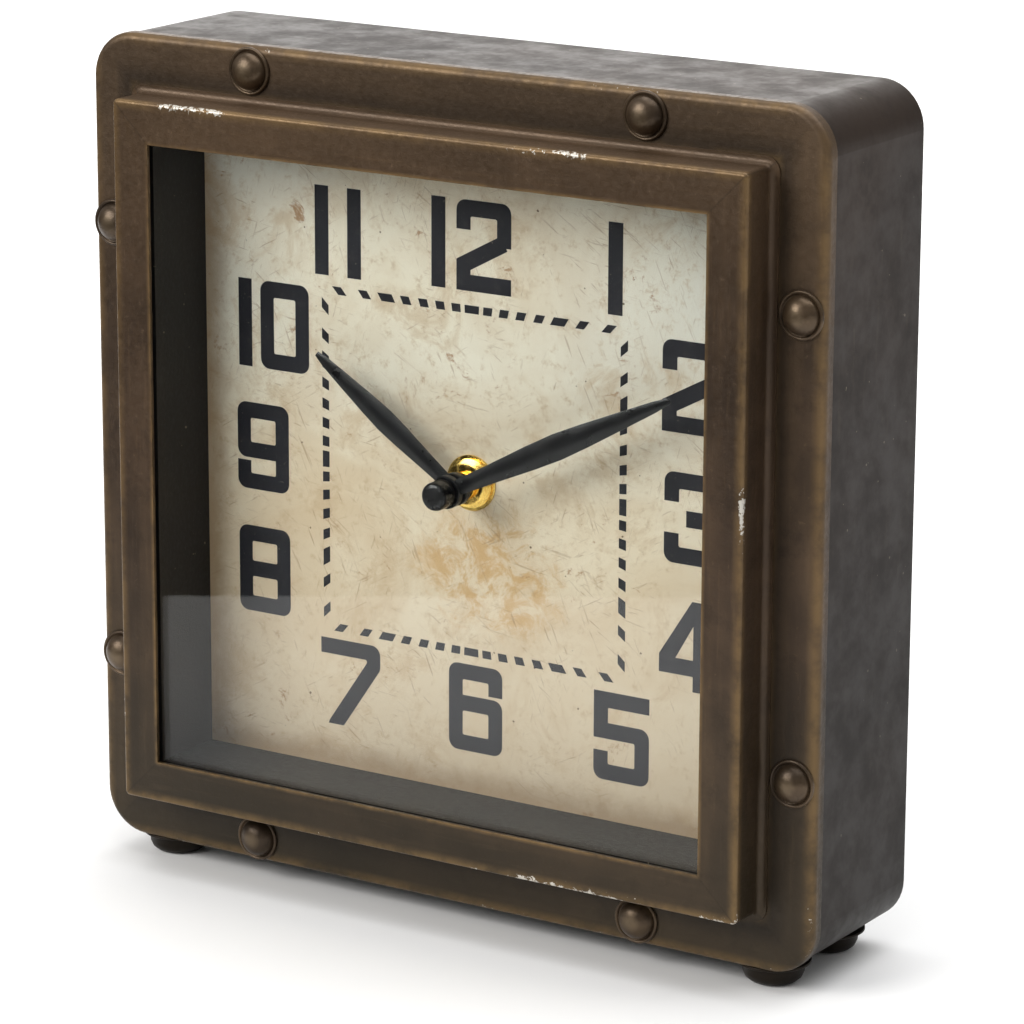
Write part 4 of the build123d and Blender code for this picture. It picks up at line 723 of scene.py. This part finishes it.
# ---- feet ----
def feet():
    """Domed feet with a rim and a boss that seats against the case."""
    boxes = lumps("feet")
    low, high = boxes[0]
    flange = (high.x - low.x) / 2
    tall = high.z - low.z
    base = Vector(((low.x + high.x) / 2, (low.y + high.y) / 2, low.z))
    seat = tall - 0.5 * MM
    boss = 6.6 * MM
    stations = [(0, 0), (5.0 * MM, 0), (7.0 * MM, 0.35 * MM), (8.3 * MM, 1.4 * MM), (9.0 * MM, 3.0 * MM),
                (9.1 * MM, seat - 1.4 * MM), (9.5 * MM, seat - 0.95 * MM),
                (flange - 0.3 * MM, seat - 0.85 * MM), (flange, seat - 0.6 * MM), (flange, seat - 0.1 * MM),
                (flange - 0.1 * MM, seat), (boss, seat), (boss, tall), (0, tall)]
    piece = turned_piece(stations, base, UP, 48)
    shifts = [Vector(((a.x + b.x) / 2, (a.y + b.y) / 2, a.z)) for a, b in boxes]
    ride_set(copies(piece, shifts), "foot", "foot_black", "case", "feet", angle=45)


# ---- hands ----
MINUTES_SHOWN = 10.6
HOUR_SHOWN = 10
HOUR_HAND_LENGTH = 60.04 * MM
MINUTE_HAND_LENGTH = 83.98 * MM
HAND_BOSS_RADIUS = 4.9 * MM
HAND_ROOT_WIDTH = 4.6 * MM
HOUR_HAND_BORE = 2.55 * MM
MINUTE_TUBE_RADIUS = 1.7 * MM


def lance(node, name, body, bearing, length, bore, widest):
    """Ridged lance blade on a turned boss, drawn pointing up and then turned to its bearing."""
    boss_radius = HAND_BOSS_RADIUS
    root = HAND_ROOT_WIDTH
    boss_depth = 2.4 * MM
    boss_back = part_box(node)[1].y
    plane = boss_back - boss_depth / 2
    edge = 0.35 * MM
    shares = [(0.05, root), (0.2, root * 1.22), (0.38, widest * 0.93), (0.5, widest), (0.62, widest * 0.88),
              (0.8, 4.8 * MM), (0.93, 3.2 * MM), (1 - 0.5 * MM / length, 1.6 * MM)]
    bottom = CENTRE_Z + shares[0][0] * length
    bpy.ops.mesh.primitive_cube_add(size=1, location=(0, plane - edge / 2, bottom))
    blade = bpy.context.object
    blade.scale = (root, edge, 0.1 * MM)
    bpy.ops.object.transform_apply(location=True, rotation=False, scale=True)
    bpy.ops.object.mode_set(mode="EDIT")
    bpy.ops.mesh.select_mode(type="FACE")
    shape = bmesh.from_edit_mesh(blade.data)
    for face in shape.faces:
        face.select = face.normal.z > 0.9
    bmesh.update_edit_mesh(blade.data)
    height, width = bottom + 0.05 * MM, root
    for share, wide in shares[1:]:
        target = CENTRE_Z + share * length
        bpy.ops.mesh.extrude_region_move(TRANSFORM_OT_translate={"value": (0, 0, target - height)})
        bpy.ops.transform.resize(value=(wide / width, 1, 1), center_override=(0, plane, target))
        height, width = target, wide
    bpy.ops.mesh.select_all(action="SELECT")
    bpy.ops.mesh.bisect(plane_co=(0, 0, 0), plane_no=(1, 0, 0))
    shape = bmesh.from_edit_mesh(blade.data)
    bmesh.ops.recalc_face_normals(shape, faces=shape.faces)
    for vertex in shape.verts:
        vertex.select = abs(vertex.co.x) < WELD and vertex.co.y < plane - edge * 0.5
    bmesh.update_edit_mesh(blade.data)
    for vertex in shape.verts:
        if vertex.select:
            beside = max(abs(v.co.x) for e in vertex.link_edges for v in e.verts)
            vertex.co.y -= 0.55 * MM * beside * 2 / widest
    bmesh.update_edit_mesh(blade.data)
    bpy.ops.object.mode_set(mode="OBJECT")
    apply_bevel(blade, 0.12 * MM, 2, 25)
    bevel = 0.3 * MM
    stations = [(bore, boss_depth), (boss_radius - bevel, boss_depth), (boss_radius, boss_depth - bevel),
                (boss_radius, bevel), (boss_radius - bevel, 0), (bore, 0), (bore, boss_depth)]
    boss = turned_piece(stations, Vector((0, boss_back, CENTRE_Z)), OUT, 48)
    activate(boss)
    blade.select_set(True)
    bpy.context.view_layer.objects.active = blade
    bpy.ops.object.join()
    pivot = Matrix.Translation((0, 0, CENTRE_Z))
    blade.data.transform(pivot @ Matrix.Rotation(bearing, 4, "Y") @ pivot.inverted())
    finish_piece(blade, name, "hand_black", body, node, angle=30)


def hands():
    """Both lance hands and the cap nut that holds them."""
    hour_bearing = math.radians((HOUR_SHOWN + MINUTES_SHOWN / 60) * 30)
    minute_bearing = math.radians(MINUTES_SHOWN * 6)
    lance("hour_hand", "hour_hand_blade", "hour_hand_group", hour_bearing, HOUR_HAND_LENGTH,
          HOUR_HAND_BORE, 7.6 * MM)
    lance("minute_hand", "minute_hand_blade", "minute_hand_group", minute_bearing, MINUTE_HAND_LENGTH,
          MINUTE_TUBE_RADIUS, 7.8 * MM)
    low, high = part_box("cap_nut")
    long = high.y - low.y
    neck = 3.2 * MM
    wall = 4.25 * MM
    stations = [(MINUTE_TUBE_RADIUS, 0), (neck, 0), (neck, 0.75 * MM), (4.15 * MM, 0.85 * MM),
                (wall, 1.0 * MM), (wall, long - 1.5 * MM), (4.12 * MM, long - 0.9 * MM),
                (3.75 * MM, long - 0.42 * MM), (3.1 * MM, long - 0.12 * MM), (2.2 * MM, long), (0, long)]
    cap = turned_piece(stations, Vector((0, high.y, CENTRE_Z)), OUT, 48)
    finish_piece(cap, "cap_nut_turned", "hand_black", "minute_hand_group", "cap_nut", angle=50)


# ---- brass at the hub ----
def hub_brass():
    """Ribbed round nut over a plain washer, on the movement's bushing."""
    low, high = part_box("brass_nut")
    outer = (high.x - low.x) / 2
    thick = high.y - low.y
    bore = 4.0 * MM
    groove = 0.3 * MM
    taper = 0.16 * MM
    stations = [(bore, 0), (outer - 0.4 * MM, 0)]
    ribs = 6
    pitch = thick / ribs
    for rib in range(ribs):
        crest = outer - taper * rib
        start = rib * pitch
        stations += [(crest - groove, start + 0.04 * MM), (crest, start + pitch * 0.32),
                     (crest, start + pitch * 0.68), (crest - groove, start + pitch * 0.96)]
    stations += [(outer - 1.7 * MM, thick), (bore + 0.3 * MM, thick), (bore, thick - 0.2 * MM), (bore, 0)]
    nut = turned_piece(stations, Vector((0, high.y, CENTRE_Z)), OUT, 64)
    finish_piece(nut, "brass_nut_turned", "brass", "case", "brass_nut", angle=24)
    low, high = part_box("brass_washer")
    outer = (high.x - low.x) / 2
    thick = high.y - low.y
    bore = 4.15 * MM
    bevel = 0.2 * MM
    stations = [(bore, 0), (outer, 0), (outer, thick - bevel), (outer - bevel, thick),
                (bore + bevel, thick), (bore, thick - bevel), (bore, 0)]
    washer = turned_piece(stations, Vector((0, high.y, CENTRE_Z)), OUT, 64)
    finish_piece(washer, "brass_washer_turned", "brass", "case", "brass_washer", angle=30)


# ---- screws at the back ----
def cross_slot(head, centre, wide, long, deep):
    """Cuts a cross recess into a screw head, from its outer face."""
    for size in ((long, deep * 2, wide), (wide, deep * 2, long)):
        bpy.ops.mesh.primitive_cube_add(size=1, location=centre)
        cutter = bpy.context.object
        cutter.scale = size
        bpy.ops.object.transform_apply(location=True, rotation=False, scale=True)
        activate(head)
        cut = head.modifiers.new("recess", "BOOLEAN")
        cut.operation = "DIFFERENCE"
        cut.object = cutter
        cut.solver = "EXACT"
        bpy.ops.object.modifier_apply(modifier=cut.name)
        bpy.data.objects.remove(cutter)


def cover_screws():
    """Pan head screws with a cross recess."""
    boxes = lumps("back_cover_screws")
    low, high = boxes[0]
    head = (high.x - low.x) / 2
    middle = Vector(((low.x + high.x) / 2, high.y, (low.z + high.z) / 2))
    rise = 1.6 * MM
    shank = 1.5 * MM
    tip = low.y - high.y
    stations = [(0, tip), (shank, tip), (shank, -rise), (head, -rise), (head, -rise + 0.35 * MM),
                (head * 0.93, -rise * 0.5), (head * 0.76, -rise * 0.2), (head * 0.5, -rise * 0.04), (0, 0)]
    screw = turned_piece(stations, middle, BACKWARDS, 32)
    cross_slot(screw, middle, 0.55 * MM, head * 1.25, 0.75 * MM)
    shifts = [Vector(((a.x + b.x) / 2, b.y, (a.z + b.z) / 2)) for a, b in boxes]
    ride_set(copies(screw, shifts), "back_cover_screw", "zinc_steel", "case", "back_cover_screws")


# ---- setting knob ----
def setting_knob():
    """Turned knob with a dished face, its rim waved into flutes."""
    low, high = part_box("setting_knob")
    middle = Vector(((low.x + high.x) / 2, low.y, CENTRE_Z))
    outer = (high.x - low.x) / 2
    thick = high.y - low.y
    flutes = 24
    flute_depth = 0.3 * MM
    stations = [(0, 0), (outer - 0.4 * MM, 0), (outer, 0.3 * MM), (outer, thick - 0.35 * MM),
                (outer - 0.4 * MM, thick), (outer - 1.3 * MM, thick), (outer - 1.6 * MM, thick - 0.55 * MM),
                (2.5 * MM, thick - 0.6 * MM), (2.2 * MM, thick - 0.1 * MM), (1.0 * MM, thick - 0.1 * MM),
                (0.8 * MM, thick - 0.4 * MM), (0, thick - 0.4 * MM)]
    knob = turned_piece(stations, middle, BACKWARDS, flutes * 8)
    activate(knob)
    bpy.ops.object.transform_apply(location=True, rotation=True, scale=True)
    for vertex in knob.data.vertices:
        reach = Vector((vertex.co.x - middle.x, 0, vertex.co.z - middle.z))
        if reach.length > outer - 0.1 * MM:
            wave = math.cos(math.atan2(reach.z, reach.x) * flutes)
            reach *= 1 - flute_depth * (1 - wave) / outer
            vertex.co.x, vertex.co.z = middle.x + reach.x, middle.z + reach.z
    finish_piece(knob, "setting_knob_fluted", "gear_ivory", "time_setting", "setting_knob", angle=40)


# ---- battery ----
def battery():
    """Bright can with a sleeve shrunk over its barrel."""
    low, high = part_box("battery")
    radius = (high.z - low.z) / 2
    middle_y, middle_z = (low.y + high.y) / 2, (low.z + high.z) / 2
    start = Vector((low.x, middle_y, middle_z))
    along = Vector((1, 0, 0))
    total = high.x - low.x
    barrel = total - 1.0 * MM
    can_radius = radius - 0.12 * MM
    button = 2.75 * MM
    can = turned_piece([(0, 0), (4.2 * MM, 0), (4.4 * MM, 0.25 * MM), (6.0 * MM, 0.3 * MM),
                        (radius - 0.5 * MM, 0.1 * MM), (can_radius, 0.4 * MM),
                        (can_radius, barrel - 0.5 * MM), (radius - 0.7 * MM, barrel),
                        (3.4 * MM, barrel), (button, barrel + 0.12 * MM), (button, total - 0.2 * MM),
                        (2.5 * MM, total), (0, total)], start, along, 48)
    inner = radius - 0.2 * MM
    low_lip = radius - 0.9 * MM
    high_lip = radius - 1.4 * MM
    sleeve_end = barrel + 0.02 * MM
    sleeve = turned_piece([(low_lip, 0.16 * MM), (inner, 0.06 * MM), (radius, 0.4 * MM),
                           (radius, barrel - 0.4 * MM), (radius - 0.3 * MM, sleeve_end),
                           (high_lip, sleeve_end), (high_lip, barrel - 0.2 * MM),
                           (inner, barrel - 0.3 * MM), (inner, 0.4 * MM),
                           (low_lip, 0.36 * MM), (low_lip, 0.16 * MM)], start, along, 48)
    finish_piece(can, "battery_can", "contact_steel", "cell", "battery", angle=40)
    finish_piece(sleeve, "battery_sleeve", "cell_wrap", "cell", angle=40)


rivets()
feet()
hands()
hub_brass()
cover_screws()
setting_knob()
battery()


# ---- floor, light and camera ----
def softbox(name, place, aim, size, power, colour=(1.0, 0.985, 0.96)):
    """A rectangular area light at a place, turned to its aim."""
    data = bpy.data.lights.new(name, "AREA")
    data.shape = "RECTANGLE"
    data.size, data.size_y = size
    data.energy = power
    data.color = colour
    lamp = bpy.data.objects.new(name, data)
    bpy.context.scene.collection.objects.link(lamp)
    lamp.location = place
    lamp.rotation_euler = (Vector(aim) - Vector(place)).to_track_quat("-Z", "Y").to_euler()


def studio():
    """A white backdrop, a pale floor that ends a little in front of the clock, and four softboxes."""
    world = bpy.data.worlds.new("studio")
    bpy.context.scene.world = world
    world.use_nodes = True
    w = Wiring(world.node_tree)
    background = world.node_tree.nodes["Background"]
    seen = w.node("ShaderNodeLightPath").outputs["Is Camera Ray"]
    height = axes_of(w, w.node("ShaderNodeTexCoord").outputs["Generated"])[2]
    room = w.blend(w.spread(height, -0.02, 0.25), grey(0.03), grey(0.3))
    w.feed(background.inputs["Color"], w.blend(seen, room, grey(1.0)))
    background.inputs["Strength"].default_value = 1.0

    toward = Vector((-0.54, -0.84, 0)).normalized()
    reach = 0.36
    size = 9.0
    middle = Vector((0, bezel_low.y, 0)) + toward * (reach - size / 2)
    bpy.ops.mesh.primitive_plane_add(size=size, location=middle,
                                     rotation=(0, 0, math.atan2(toward.y, toward.x)))
    floor = bpy.context.object
    floor.name = "floor"
    bpy.ops.object.transform_apply(location=True, rotation=True, scale=True)
    deselect()
    material, w, shader, place = new_finish("pale_floor", Specular_IOR_Level=0.15)
    w.feed(shader.inputs["Base Color"], w.blend(w.noise(place, 3.0, 2.0), grey(0.93), grey(0.95)))
    w.feed(shader.inputs["Roughness"], w.spread(w.noise(place, 30.0, 2.0), 0.3, 0.7, 0.7, 0.8))
    floor.data.materials.append(material)
    softbox("key_softbox", (-1.0, -1.5, 1.15), (0, 0, 0.13), (1.4, 1.0), 34.0)
    softbox("overhead_softbox", (0.2, 0.5, 2.2), (0, 0.2, 0), (2.6, 2.6), 60.0, (1.0, 1.0, 1.0))
    softbox("side_softbox", (1.8, 0.6, 0.9), (0.1, 0, 0.12), (0.5, 1.4), 1.6)
    softbox("top_card", (-1.0, 1.6, 0.62), (0, 0, 0.25), (1.8, 0.5), 10.0)


CAMERA_PLACE = (0.714145, -1.104175, 0.469036)
CAMERA_AZIMUTH = 0.5680
CAMERA_ELEVATION = 0.2587
CAMERA_ROLL = 0.0037
CAMERA_LENS = 162.21


def camera():
    """The main camera, to the right of the dial and a little above it."""
    azimuth, elevation, roll = CAMERA_AZIMUTH, CAMERA_ELEVATION, CAMERA_ROLL
    toward_camera = Vector((math.sin(azimuth) * math.cos(elevation), -math.cos(azimuth) * math.cos(elevation),
                            math.sin(elevation)))
    right = UP.cross(toward_camera).normalized()
    up = toward_camera.cross(right).normalized()
    turned_right = right * math.cos(roll) + up * math.sin(roll)
    turned_up = up * math.cos(roll) - right * math.sin(roll)
    data = bpy.data.cameras.new("camera")
    data.lens = CAMERA_LENS
    seen = bpy.data.objects.new("camera", data)
    bpy.context.scene.collection.objects.link(seen)
    pose = Matrix((turned_right, turned_up, toward_camera)).transposed().to_4x4()
    pose.translation = CAMERA_PLACE
    seen.matrix_world = pose
    bpy.context.scene.camera = seen


studio()
camera()
bpy.context.scene.view_settings.view_transform = "Standard"
bpy.context.scene.view_settings.look = "None"
